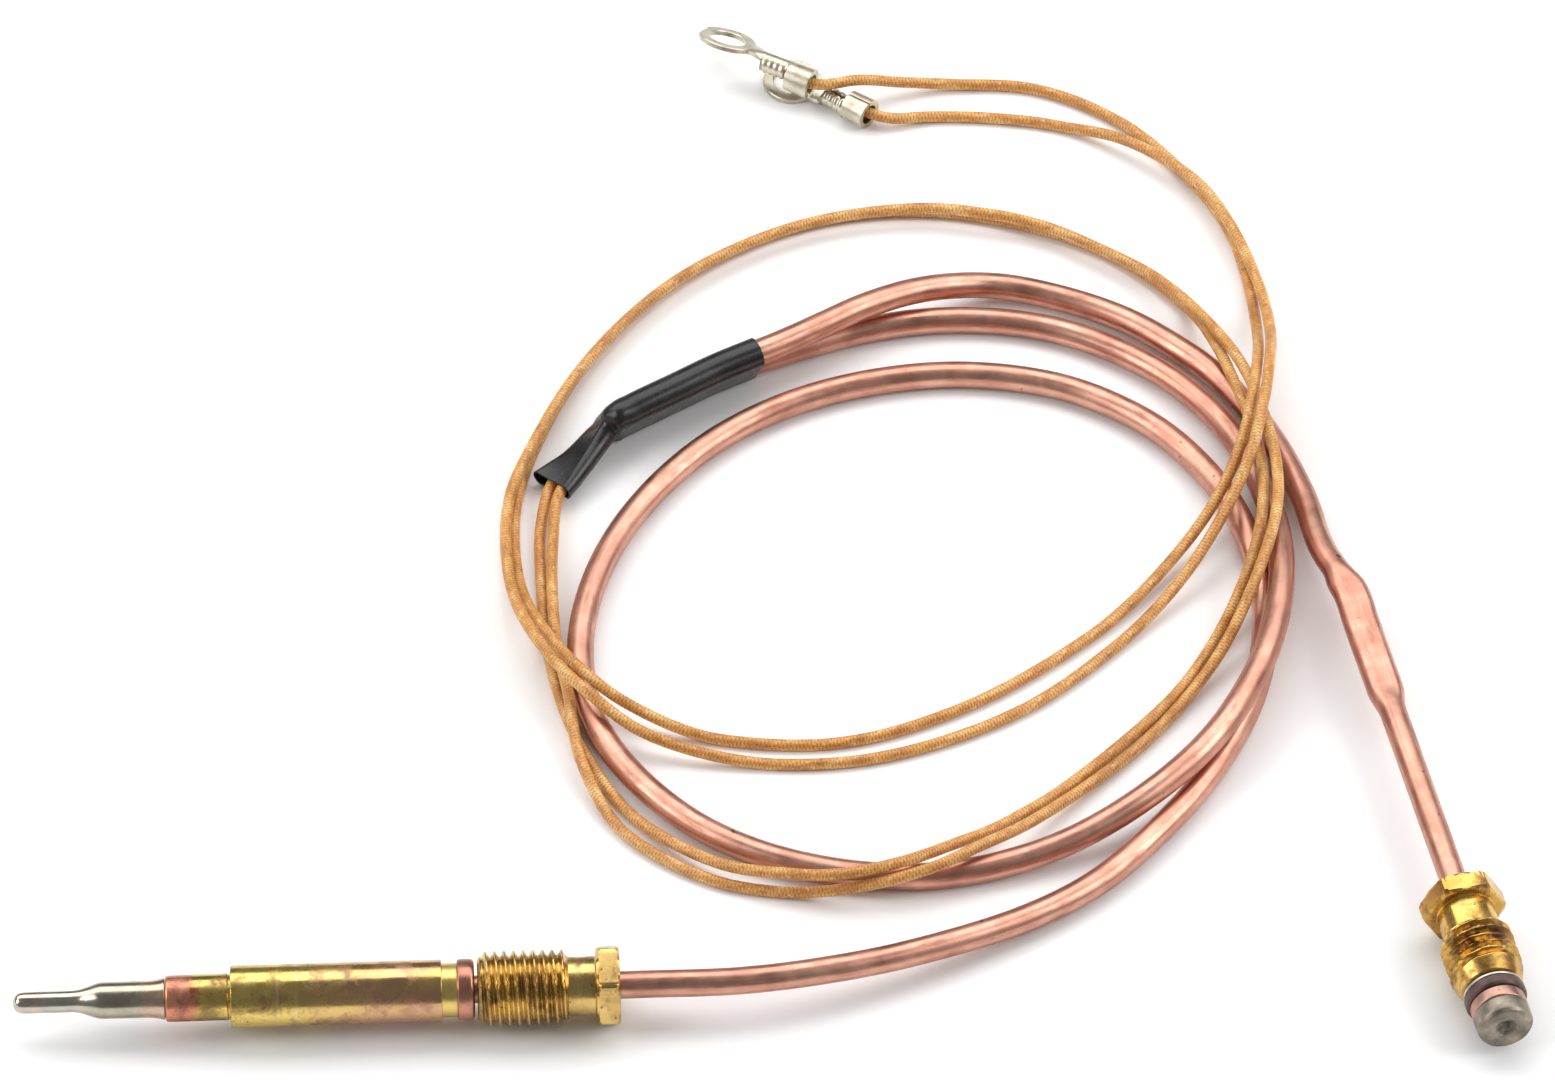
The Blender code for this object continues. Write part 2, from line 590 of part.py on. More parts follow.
def flatten_land(mesh, place, run):
    """Press the marking land: wider and thinner, easing back to round at both ends."""
    local = place.inverted()
    for vertex in mesh.vertices:
        p = local @ vertex.co / MM
        along = -p.z - run
        reach = min(along, LAND_LENGTH - along) + LAND_BLEND
        if reach <= 0.0:
            continue
        ease = min(reach / LAND_BLEND, 1.0)
        ease = ease * ease * (3.0 - 2.0 * ease)
        p.x *= 1.0 + (LAND_WIDEN - 1.0) * ease
        p.y *= 1.0 + (LAND_THIN - 1.0) * ease
        vertex.co = place @ (p * MM)


# ---------------------------------------------------------------- splice

def sleeve_frame(index):
    centre = Vector(SLEEVE_STATIONS[index][0])
    before = Vector(SLEEVE_STATIONS[max(index - 1, 0)][0])
    after = Vector(SLEEVE_STATIONS[min(index + 1, len(SLEEVE_STATIONS) - 1)][0])
    ahead = (after - before).normalized()
    side = ahead.cross(Vector((0.0, 0.0, 1.0))).normalized() * -1.0
    up = side.cross(ahead) * -1.0
    if up.z < 0.0:
        up.negate()
    return centre, side, up


def build_sleeve():
    """Heat-shrunk sleeve: wide over the two tubes, pinched and twisted, flat at the mouth."""
    around = 16

    def build(work):
        rings = []
        for index, (_, roll, half_gap, radius) in enumerate(SLEEVE_STATIONS):
            centre, side, up = sleeve_frame(index)
            turn = math.radians(roll)
            long_way = side * math.cos(turn) + up * math.sin(turn)
            short_way = up * math.cos(turn) - side * math.sin(turn)
            ring = []
            for k in range(around):
                angle = math.tau * (k + 0.5) / around
                shift = math.copysign(half_gap, math.cos(angle))
                place = centre + long_way * (shift + radius * math.cos(angle))
                ring.append(work.verts.new(place + short_way * radius * math.sin(angle)))
            rings.append(ring)
        for a, b in zip(rings, rings[1:]):
            for k in range(around):
                n = (k + 1) % around
                work.faces.new((a[k], a[n], b[n], b[k]))
        bmesh.ops.recalc_face_normals(work, faces=work.faces)

    mesh = bmesh_data("splice_sleeve", build)
    node = add_node("splice_sleeve", mesh, "sleeve_black")
    thicken(node, SLEEVE_WALL)
    soften(mesh, 50.0)


def crimp_tube(name, start, end, outer, wall, slot):
    stations = [Vector(start), Vector(start).lerp(Vector(end), 0.5), Vector(end)]
    hollow_route(name, stations, outer, wall, slot, 3)


def build_splice():
    build_sleeve()
    crimp_tube("splice_crimp_1", (-13.75, 37.3, 1.92), (-16.6, 35.2, 2.08), 0.85, 0.22,
               "tinned_brass")
    crimp_tube("splice_crimp_2", (-14.0, 35.13, 4.65), (-16.4, 33.6, 4.1), 0.85, 0.22,
               "tinned_brass")
    bond = [Vector((-5.05, 43.0, 3.9)), Vector((-7.1, 41.75, 3.9)), Vector((-9.1, 40.4, 3.9))]
    solid_route("tube_bond", bond, 0.3, "solder", 2)


# ---------------------------------------------------------------- wires and terminals

def terminal_outline(name):
    """Ring, flat-cut at the far end, with the neck that runs under the barrels."""
    curve = bpy.data.curves.new(name, "CURVE")
    curve.dimensions = "2D"
    curve.fill_mode = "BOTH"
    curve.extrude = SHEET / 2.0 * MM
    cut = math.acos(RING_CUT / RING_R)
    neck = math.asin((NECK_HALF_WIDTH + 0.75) / RING_R)
    steps = 13
    upper = [neck + (math.pi - cut - neck) * k / steps for k in range(steps + 1)]
    ring = [(RING_R * math.cos(a), RING_R * math.sin(a)) for a in upper]
    half = [(WIRE_CRIMP[0] + 0.4, NECK_HALF_WIDTH - 0.25), (STRAND_CRIMP[1] - 0.3, NECK_HALF_WIDTH - 0.25),
            (STRAND_CRIMP[0] + 0.3, NECK_HALF_WIDTH - 0.1), (STRAND_CRIMP[0] - 0.3, NECK_HALF_WIDTH)]
    outline = half + ring
    outline += [(x, -y) for x, y in reversed(outline)]
    hole_sides = 24
    hole = [(RING_HOLE_R * math.cos(math.tau * k / hole_sides),
             RING_HOLE_R * math.sin(math.tau * k / hole_sides)) for k in range(hole_sides)]
    for loop in (outline, hole):
        spline = curve.splines.new("POLY")
        spline.points.add(len(loop) - 1)
        for point, (x, y) in zip(spline.points, loop):
            point.co = (x * MM, y * MM, 0.0, 1.0)
        spline.use_cyclic_u = True
    holder = add_cutter(name + "_outline", curve)
    bpy.context.view_layer.update()
    ready = holder.evaluated_get(bpy.context.evaluated_depsgraph_get())
    mesh = bpy.data.meshes.new_from_object(ready)
    bpy.data.objects.remove(holder)
    bpy.data.curves.remove(curve)
    work = bmesh.new()
    work.from_mesh(mesh)
    bmesh.ops.remove_doubles(work, verts=work.verts, dist=1e-7)
    bmesh.ops.translate(work, verts=work.verts, vec=(0.0, 0.0, SHEET / 2.0 * MM))
    bmesh.ops.recalc_face_normals(work, faces=work.faces)
    work.to_mesh(mesh)
    work.free()
    mesh.materials.clear()
    return mesh


def barrel_cutter(name, frame, span, radius, height, segments=20):
    def build(work):
        length = span[1] - span[0]
        place = Matrix.Translation(((span[0] + span[1]) / 2.0, 0.0, height))
        place = place @ Matrix.Rotation(math.pi / 2.0, 4, "Y")
        bmesh.ops.create_cone(work, cap_ends=True, segments=segments, radius1=radius,
                              radius2=radius, depth=length, matrix=place)

    return add_cutter(name, bmesh_data(name, build), frame)


def block_cutter(name, frame, low, high):
    def build(work):
        middle = (Vector(low) + Vector(high)) / 2.0
        size = Vector(high) - Vector(low)
        place = Matrix.Translation(middle) @ Matrix.Diagonal((*size, 1.0))
        bmesh.ops.create_cube(work, size=1.0, matrix=place)

    return add_cutter(name, bmesh_data(name, build), frame)


def build_terminal(number, frame, open_top):
    name = f"ring_terminal_{number}"
    node = add_node(name, terminal_outline(name), "tinned_brass", frame)
    barrels = (("strand", STRAND_CRIMP, STRAND_CRIMP_R, STRAND_BORE_R),
               ("wire", WIRE_CRIMP, WIRE_CRIMP_R, WIRE_BORE_R))
    for label, span, outer, _ in barrels:
        join(node, barrel_cutter(f"{name}_{label}", frame, span, outer, outer), "UNION")
    for label, span, outer, inner in barrels:
        long_span = (span[0] - 0.15, span[1] + 0.15)
        bore = barrel_cutter(f"{name}_{label}_bore", frame, long_span, inner, outer, 16)
        join(node, bore, "DIFFERENCE")
    if open_top:
        top = 2.0 * WIRE_CRIMP_R
        slit = block_cutter(name + "_slit", frame, (WIRE_CRIMP[0] - 0.3, -0.45, top - 1.2),
                            (WIRE_CRIMP[1] + 0.3, 0.45, top + 0.5))
        join(node, slit, "DIFFERENCE")
    strand = [Vector((STRAND_CRIMP[0] + 0.5, 0.0, STRAND_CRIMP_R)),
              Vector((STRAND_CRIMP[1] - 0.1, 0.0, STRAND_CRIMP_R + 0.02)),
              Vector((WIRE_STOP - 0.25, 0.0, WIRE_CRIMP_R - 0.1))]
    solid_route(f"wire_end_{number}", strand, STRAND_R, "copper_lead", 2, frame)


def build_wires(frames):
    runs = ((WIRE_1_ROUTE, TERMINAL_1_MOUTH), (WIRE_2_ROUTE, TERMINAL_2_MOUTH))
    for number, ((route, mouth), frame) in enumerate(zip(runs, frames), 1):
        place = frame.matrix_world
        entry = ((WIRE_CRIMP[1] + 0.2, *mouth), (WIRE_STOP, 0.0, WIRE_CRIMP_R))
        last = [place @ (Vector(p) * MM) / MM for p in entry]
        points = [Vector(p) for p in route] + last
        stations = smooth_route(points, WIRE_STEP, WIRE_R, 2)
        solid_route(f"lead_wire_{number}", stations, WIRE_R, "wire_fibre", CORD_SIDES)


def terminal_frame(number, base, angles):
    """Frame on the underside of the ring, turned by heading, pitch and roll in degrees."""
    heading, pitch, roll = (math.radians(a) for a in angles)
    flat = math.cos(pitch)
    ahead = Vector((math.cos(heading) * flat, math.sin(heading) * flat, math.sin(pitch)))
    side = Vector((0.0, 0.0, 1.0)).cross(ahead).normalized()
    level = ahead.cross(side)
    lean = level * math.cos(roll) + side * math.sin(roll)
    return add_frame(f"ring_terminal_{number}_frame", base, ahead, lean)


def build():
    up = Vector((0.0, 0.0, 1.0))
    ahead = Vector((-math.cos(PROBE_HEADING), -math.sin(PROBE_HEADING), 0.0))
    probe = add_frame("probe_axis", PROBE_REAR_FACE + ahead * PROBE_NUT_END, up, ahead)
    build_probe(probe)
    build_probe_lead(probe)

    outward = CONTACT_FACE - LAND_END
    across = up.cross(outward).normalized()
    contact = add_frame("contact_axis", CONTACT_FACE, across, outward)
    build_contact_end(contact)
    build_contact_lead(contact)

    build_splice()
    first = terminal_frame(1, TERMINAL_1_BASE, TERMINAL_1_ANGLES)
    second = terminal_frame(2, TERMINAL_2_BASE, TERMINAL_2_ANGLES)
    build_terminal(1, first, False)
    build_terminal(2, second, True)
    build_wires((first, second))


build()
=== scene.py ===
"""Looks of the interrupted gas thermocouple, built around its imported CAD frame.

Lengths are in millimetres until a mesh is made, then in metres like the frame.  The camera and
the lights are in metres.
"""
import math

import bmesh
import bpy
import numpy as np
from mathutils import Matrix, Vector, noise


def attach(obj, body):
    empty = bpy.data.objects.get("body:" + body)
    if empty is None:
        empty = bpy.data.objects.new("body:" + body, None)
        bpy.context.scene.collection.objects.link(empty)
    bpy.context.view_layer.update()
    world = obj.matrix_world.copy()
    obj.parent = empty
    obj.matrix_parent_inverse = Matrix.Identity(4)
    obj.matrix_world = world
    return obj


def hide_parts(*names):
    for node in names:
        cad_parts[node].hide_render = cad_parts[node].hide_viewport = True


MM = 0.001
UP = np.array((0.0, 0.0, 1.0))
BODY = "thermocouple"

# Camera: looks down at the resting plane from the front through a long lens
CAMERA_TARGET = (0.0, 0.019, 0.0)
CAMERA_ELEVATION = 46.3
CAMERA_DISTANCE = 1.3
CAMERA_LENS = 276.9
SENSOR_WIDTH = 36.0
CLIP_END = 50.0

# Studio: each softbox's name, place, size and power; all of them face the origin
SOFTBOXES = (
    ("overhead", (0.0, 0.42, 0.72), (2.2, 0.62), 11.0),
    ("left_fill", (-0.8, -0.2, 0.55), (0.5, 0.6), 4.0),
    ("right_fill", (0.8, -0.1, 0.55), (0.5, 0.6), 4.0),
)
WORLD_COLOUR = (0.76, 0.77, 0.79, 1.0)
WORLD_STRENGTH = 0.28
FLOOR_HALF_SIDE = 6.0

# Leads and wires, with the spacing of the rings that make them
TUBE_R = 1.45
TUBE_WALL = 0.45
TUBE_SIDES = 40
PROBE_LEAD_STEP = 1.1
CONTACT_LEAD_STEP = 0.9
WIRE_R = 0.625
WIRE_SIDES = 24
WIRE_STEP = 0.7
# Highest place of any centre line, where a wire lies over the crossing strands
CREST = 8.24

# Probe axis and the places along it, back from the tip
PROBE_REAR_FACE = np.array((-16.45, -49.55, 4.45))
PROBE_HEADING = math.radians(2.3)
PROBE_NUT_END = 63.4
SHEATH_END = 15.9
BRAZE_END = 18.4
NECK_END = 22.75
BARREL_END = 44.8
COLLAR_START = 46.4
COLLAR_END = 48.2
# Places where the lead's straight run is held on the axis
PROBE_LEAD_PINS = (45.3, 52.0, 58.0, 63.0, 68.0, 73.4)
TIP_R = 1.15
SHEATH_R = 1.95
NECK_R = 2.45
BARREL_R = 3.25
COLLAR_R = 3.2
CORE_BORE_R = 0.65
# Pieces turned solid are closed by a small flat of this radius on their axis
AXIS_R = 0.02

# Gland nuts
PITCH = 1.0
THREAD_R = 3.95
THREAD_ROOT_R = 3.36
SHANK_R = 3.1
HEX_FLAT = 4.0
NUT_BORE_R = 1.65
# Each nut's start, the lengths of its parts, its hexagon's turn, and its nose's length and radius
PROBE_NUT = dict(start=48.5, thread=9.5, shank=2.9, hexagon=2.5,
                 turn=math.radians(46.0) + math.pi / 6.0, nose=(0.75, 3.2))
# The contact nut's thread is worn, and rubbed off altogether near its nose
CONTACT_NUT = dict(start=5.55, thread=7.5, shank=3.4, hexagon=2.4, turn=0.0, nose=(2.3, 3.25),
                   wear=0.28, plain=2.2)

# Contact axis and the places along it, back from the button's face
CONTACT_LEAD_PINS = (42.0, 33.0, 24.0, 15.0, 5.6)
BUTTON_R = 3.0
RIM_R = 3.3
CONTACT_BORE_R = 0.8
CONTACT_FACE = np.array((75.95, -55.3, 4.02))
LAND_END = np.array((65.0, -7.0, 4.02))
LAND_LENGTH = 15.5
LAND_BLEND = 3.5
LAND_WIDEN = 1.36
LAND_THIN = 0.76

# Ring terminals
SHEET = 0.6
RING_R = 3.3
RING_HOLE_R = 2.15
RING_CUT = 3.05
STRAND_CRIMP = (4.9, 7.7)
STRAND_CRIMP_R = 1.2
WIRE_CRIMP = (8.1, 11.0)
WIRE_CRIMP_R = 1.75
WIRE_STOP = 8.8
# How nearly each wire barrel closes round its wire; 1 is shut
LAP_1 = 0.93
LAP_2 = 0.985
# Each terminal's base, its heading, pitch and roll in degrees, and where the wire enters its barrel
TERMINAL_1 = ((-5.58, 92.77, 4.68), (-26.5, -1.8, 208.3), (0.0, WIRE_CRIMP_R - 0.15))
TERMINAL_2 = ((1.7, 90.2, 0.05), (-38.5, 0.0, 0.0), (0.4, WIRE_CRIMP_R - 0.1))

# Sleeve stations: centre, roll of the long axis, half gap, end radius
SLEEVE_WALL = 0.22
SLEEVE_STATIONS = (
    ((-2.7, 43.37, 3.42), 62.0, 1.7, 1.84),
    ((-7.1, 40.85, 3.42), 62.0, 1.7, 1.84),
    ((-11.6, 37.85, 3.4), 62.0, 1.7, 1.84),
    ((-16.2, 34.85, 3.3), 62.0, 1.7, 1.84),
    ((-18.1, 33.6, 3.15), 60.0, 1.66, 1.8),
    ((-18.9, 32.85, 2.85), 50.0, 1.05, 1.38),
    ((-20.0, 31.4, 2.5), 36.0, 0.9, 1.22),
    ((-21.9, 28.75, 2.05), 20.0, 1.05, 1.15),
    ((-23.3, 27.15, 1.8), 12.0, 1.4, 1.1),
    ((-24.6, 25.7, 1.65), 8.0, 1.7, 1.05),
)

# Where each wire leaves the sleeve's mouth
SLEEVE_EXIT_1 = (-24.6, 26.0, 1.5)
SLEEVE_EXIT_2 = (-23.7, 24.6, 1.6)

PROBE_LEAD_ROUTE = (
    (-3.9, -48.9, 4.4), (2.4, -47.7, 4.1), (12.8, -44.3, 3.1), (26.2, -37.8, 1.8),
    (34.1, -32.1, 1.45), (41.5, -23.6, 1.45), (45.9, -17.0, 1.45), (50.4, -7.2, 1.45),
    (52.4, 2.0, 1.45), (52.3, 11.6, 1.45), (49.4, 22.9, 1.45), (43.8, 32.0, 1.45),
    (38.4, 37.0, 1.45), (30.6, 41.1, 1.45), (20.3, 42.8, 1.45), (10.4, 41.6, 1.45),
    (1.6, 38.4, 1.45), (-6.1, 33.3, 1.45), (-12.4, 26.5, 1.45), (-17.5, 17.9, 1.45),
    (-20.4, 8.9, 1.45), (-21.2, 1.2, 1.45), (-20.4, -6.1, 1.45), (-18.0, -12.8, 1.45),
    (-13.6, -19.3, 1.45), (-7.7, -24.9, 1.45), (-0.6, -28.8, 1.45), (7.7, -31.1, 1.45),
    (15.9, -31.5, 1.45), (23.5, -30.1, 1.65), (30.9, -27.3, 2.3), (38.3, -22.7, 3.5),
    (45.0, -16.4, 4.6), (49.3, -9.6, 4.9), (52.9, -0.2, 4.7), (54.45, 10.9, 4.1),
    (53.5, 21.9, 2.4), (50.0, 32.9, 1.6), (44.5, 40.8, 1.45), (38.5, 45.8, 1.45),
    (31.5, 49.4, 1.45), (24.6, 51.0, 1.45), (16.9, 51.1, 1.45), (8.9, 49.4, 1.5),
    (-1.2, 44.95, 1.85), (-2.8, 44.2, 1.9), (-7.5, 41.5, 1.9), (-12.0, 38.5, 1.88),
)
CONTACT_LEAD_ROUTE = (
    (-12.6, 36.1, 4.8), (-11.15, 37.15, 4.9), (-6.7, 40.15, 4.92), (-2.0, 42.87, 4.92),
    (-0.4, 43.75, 4.9), (4.6, 46.9, 4.85), (10.0, 50.4, 4.7), (16.6, 53.9, 3.7),
    (24.1, 55.9, 2.1), (31.3, 54.6, 1.5), (38.3, 51.3, 1.45), (43.6, 47.2, 1.45),
    (48.2, 42.6, 1.45), (53.3, 34.4, 1.5), (57.0, 24.2, 2.1), (59.0, 14.6, 3.2),
)
WIRE_1_ROUTE = (
    (-17.5, 34.4, 2.1), (-20.1, 32.0, 1.95), (-22.6, 28.9, 1.75), (-24.6, 26.0, 1.5),
    (-25.75, 20.0, 0.63), (-25.5, 11.0, 0.63), (-24.8, 2.3, 0.63), (-21.9, -9.7, 0.63),
    (-15.7, -21.8, 0.63), (-6.4, -29.9, 1.8), (0.5, -32.6, 3.1), (6.6, -33.5, 3.95),
    (12.9, -32.0, 4.15), (18.6, -28.1, 2.7), (23.6, -23.7, 0.75), (30.1, -18.6, 0.63),
    (42.1, -5.4, 0.63), (47.0, 2.8, 1.1), (50.2, 9.3, 3.3), (52.2, 16.5, 4.6),
    (52.8, 24.0, 4.65), (52.2, 30.6, 4.2), (49.9, 39.3, 4.4), (48.0, 46.4, 3.1),
    (45.4, 53.7, 0.8), (38.19, 61.39, 0.63), (28.95, 66.36, 0.63), (15.6, 69.13, 0.63),
    (2.42, 66.82, 0.63), (-10.84, 58.48, 0.63), (-20.82, 45.88, 0.63), (-26.72, 31.65, 0.63),
    (-28.54, 22.68, 0.63), (-27.9, 11.4, 1.2), (-25.2, 2.8, 3.2), (-20.9, -4.3, 4.2),
    (-16.3, -7.6, 2.7), (-7.2, -10.9, 0.7), (6.5, -11.6, 0.63), (20.44, -6.16, 0.63),
    (34.8, 5.1, 0.63), (43.6, 15.8, 1.7), (48.0, 22.2, 4.0), (50.6, 28.2, 6.2),
    (51.9, 34.2, 7.6), (52.6, 40.4, 6.3), (52.9, 48.6, 2.2), (52.0, 58.9, 0.63),
    (50.2, 66.3, 0.63), (46.7, 73.3, 0.63), (38.88, 83.02, 0.63), (29.12, 88.63, 0.63),
    (19.4, 89.2, 0.9), (13.6, 88.5, 1.9), (10.4, 87.8, 2.9), (8.3, 87.25, 3.35),
    (6.2, 86.75, 3.35),
)
WIRE_2_ROUTE = (
    (-17.4, 33.1, 3.6), (-19.2, 31.15, 3.0), (-21.3, 28.1, 2.2), (-23.7, 24.39, 1.82),
    (-24.37, 17.03, 1.45), (-24.35, 10.0, 1.65), (-23.7, 0.9, 1.95), (-22.5, -5.6, 2.6),
    (-20.9, -15.2, 1.65), (-16.4, -24.4, 0.63), (-6.98, -31.3, 0.63), (1.03, -33.19, 0.75),
    (8.52, -33.84, 2.3), (16.1, -32.9, 4.2), (21.4, -29.4, 3.9), (27.0, -24.0, 1.8),
    (37.41, -13.55, 0.7), (43.06, -6.47, 0.86), (47.7, 0.6, 2.0), (51.2, 7.5, 4.9),
    (53.9, 16.9, 6.1), (54.3, 24.2, 5.7), (53.2, 32.6, 5.3), (51.4, 39.4, 5.2),
    (48.76, 45.4, 4.8), (42.24, 56.55, 2.4), (36.3, 61.34, 2.1), (29.31, 65.42, 2.1),
    (22.43, 67.04, 2.5), (15.06, 67.97, 2.2), (2.22, 65.29, 2.1), (-10.92, 57.01, 2.1),
    (-20.82, 44.47, 2.0), (-26.86, 31.05, 2.08), (-29.26, 22.55, 2.1), (-28.7, 9.0, 2.9),
    (-25.2, -1.1, 4.5), (-20.6, -7.7, 4.8), (-14.0, -12.0, 2.5), (-2.0, -14.6, 0.7),
    (10.9, -13.7, 0.63), (25.83, -7.07, 0.63), (37.16, 3.3, 0.7), (43.6, 11.2, 1.9),
    (48.3, 18.8, 4.2), (51.4, 25.6, 6.6), (53.0, 32.2, 8.4), (53.9, 39.6, 7.4),
    (54.2, 47.1, 4.2), (53.4, 55.4, 2.15), (50.4, 65.45, 2.08), (46.5, 72.72, 2.1),
    (38.82, 79.32, 1.8), (32.0, 82.6, 0.63), (24.0, 84.0, 0.63), (17.0, 84.1, 0.75),
    (12.9, 83.3, 1.25),
)


# ---------------- frames and routes

class Axes:
    """A place with three directions; turned pieces run back from it along -z."""

    def __init__(self, origin, x_axis, z_axis):
        self.origin = np.asarray(origin, float)
        self.z = unit(z_axis)
        self.x = unit(x_axis - self.z * np.dot(x_axis, self.z))
        self.y = np.cross(self.z, self.x)

    def world(self, local):
        local = np.asarray(local, float)
        return (self.origin + local[..., 0:1] * self.x + local[..., 1:2] * self.y
                + local[..., 2:3] * self.z)

    def back(self, distance):
        return self.origin - self.z * distance


def unit(vector):
    return np.asarray(vector, float) / np.linalg.norm(vector)


def catmull_rom(points, per_span=24):
    """Centripetal Catmull-Rom curve through all the points."""
    knots = [np.asarray(p, float) for p in points]
    knots = [2 * knots[0] - knots[1]] + knots + [2 * knots[-1] - knots[-2]]
    fine = []
    for i in range(1, len(knots) - 2):
        p = knots[i - 1:i + 3]
        t = [0.0]
        for a, b in zip(p, p[1:]):
            t.append(t[-1] + max(np.linalg.norm((b - a)[:3]), 1e-6) ** 0.5)
        for k in range(per_span):
            u = t[1] + (t[2] - t[1]) * k / per_span
            a = [p[j] + (p[j + 1] - p[j]) * (u - t[j]) / (t[j + 1] - t[j]) for j in range(3)]
            b = [a[j] + (a[j + 1] - a[j]) * (u - t[j]) / (t[j + 2] - t[j]) for j in range(2)]
            fine.append(b[0] + (b[1] - b[0]) * (u - t[1]) / (t[2] - t[1]))
    fine.append(knots[-2])
    return np.array(fine)


def evenly(fine, step):
    """Stations spaced by about step along a finely divided line."""
    gaps = np.linalg.norm(np.diff(fine[:, :3], axis=0), axis=1)
    along = np.concatenate(((0.0,), np.cumsum(gaps)))
    places = np.linspace(0.0, along[-1], max(2, round(along[-1] / step) + 1))
    return np.stack([np.interp(places, along, c) for c in fine.T], axis=1)


def resting_route(points, step, floor):
    """Even stations along a smooth curve that stays above its resting height."""
    fine = catmull_rom(points)
    fine[:, 2] = np.clip(fine[:, 2], floor, CREST)
    return evenly(fine, step)


def steady_frames(stations, start=UP):
    """Sideways and upward directions carried along a line without twist."""
    tangents = np.gradient(stations, axis=0)
    tangents /= np.linalg.norm(tangents, axis=1)[:, None]
    side = unit(np.cross(start, tangents[0]))
    sides = [side]
    for t in tangents[1:]:
        side = unit(side - t * np.dot(side, t))
        sides.append(side)
    sides = np.array(sides)
    return sides, np.cross(tangents, sides)


# ---------------- mesh making

def grid_piece(name, points, grain, material, wrap_rows=False, caps=False, sharp=35.0):
    """Quads over rows of closed loops. grain is each point's place along and across the piece."""
    rows, columns = points.shape[:2]
    count = rows * columns
    index = np.arange(count).reshape(rows, columns)
    ahead = np.roll(index, -1, axis=0) if wrap_rows else index[1:]
    near = index if wrap_rows else index[:-1]
    quads = np.stack((near, np.roll(near, -1, axis=1), np.roll(ahead, -1, axis=1), ahead), axis=-1)
    faces = quads.reshape(-1, 4).tolist()
    if caps:
        faces.append(index[0][::-1].tolist())
        faces.append(index[-1].tolist())
    mesh = bpy.data.meshes.new(name)
    mesh.from_pydata((points.reshape(-1, 3) * MM).tolist(), [], faces)
    field = mesh.attributes.new("grain", "FLOAT_VECTOR", "POINT")
    field.data.foreach_set("vector", (grain.reshape(-1, 3) * MM).astype(np.float32).ravel())
    work = bmesh.new()
    work.from_mesh(mesh)
    bmesh.ops.recalc_face_normals(work, faces=work.faces)
    work.to_mesh(mesh)
    work.free()
    mesh.shade_smooth()
    mesh.set_sharp_from_angle(angle=math.radians(sharp))
    mesh.materials.append(material)
    piece = bpy.data.objects.new(name, mesh)
    bpy.context.scene.collection.objects.link(piece)
    return piece


def join_pieces(name, pieces):
    """One object from several shells; attributes and materials are kept."""
    bpy.ops.object.select_all(action="DESELECT")
    for piece in pieces:
        piece.select_set(True)
    bpy.context.view_layer.objects.active = pieces[0]
    bpy.ops.object.join()
    pieces[0].name = name
    pieces[0].data.name = name
    return pieces[0]


def filleted(profile, turns=4):
    """Corners given as (radius, distance, fillet) become short arcs."""
    result = []
    for i, corner in enumerate(profile):
        here = np.array(corner[:2], float)
        fillet = corner[2] if len(corner) > 2 else 0.0
        if fillet <= 0.0:
            result.append(tuple(here))
            continue
        before = np.array(profile[i - 1][:2], float)
        after = np.array(profile[(i + 1) % len(profile)][:2], float)
        to_before, to_after = unit(before - here), unit(after - here)
        for k in range(turns + 1):
            t = k / turns
            bend = (1 - t) ** 2 * (here + to_before * fillet)
            bend = bend + 2 * t * (1 - t) * here + t ** 2 * (here + to_after * fillet)
            result.append(tuple(bend))
    return result


def dense(profile, longest=0.6):
    """Extra points on long straight stretches, so that wear can vary along them."""
    result = []
    for a, b in zip(profile, profile[1:]):
        steps = max(1, math.ceil(math.dist(a, b) / longest))
        result += [tuple(np.array(a) + (np.array(b) - a) * k / steps) for k in range(steps)]
    result.append(profile[-1])
    return result


def ripple(s, angle, size, seed):
    """Small unevenness of a surface of revolution, in millimetres."""
    place = Vector((s / size, 3.0 * math.cos(angle) / size + seed, 3.0 * math.sin(angle) / size))
    return noise.noise(place)


def lathe(name, axes, profile, material, closed, segments=96, uneven=0.0):
    """Surface of revolution; closed for a hollow section, else capped near the axis.

    The unevenness is seeded by the length of the name, so that neighbouring pieces differ.
    """
    patch_size = 2.5
    points = filleted(profile)
    points = dense(points + [points[0]])[:-1] if closed else dense(points)
    angles = np.arange(segments) * math.tau / segments
    local = np.zeros((len(points), segments, 3))
    grain = np.zeros_like(local)
    for i, (radius, s) in enumerate(points):
        radii = np.full(segments, radius)
        if uneven:
            radii += [uneven * ripple(s, a, patch_size, len(name)) * (radius > 0.3)
                      for a in angles]
        local[i, :, 0] = radii * np.cos(angles)
        local[i, :, 1] = radii * np.sin(angles)
        local[i, :, 2] = -s
        grain[i] = np.stack((np.full(segments, s), local[i, :, 0], local[i, :, 1]), axis=-1)
    return grid_piece(name, axes.world(local), grain, material, wrap_rows=closed, caps=not closed)


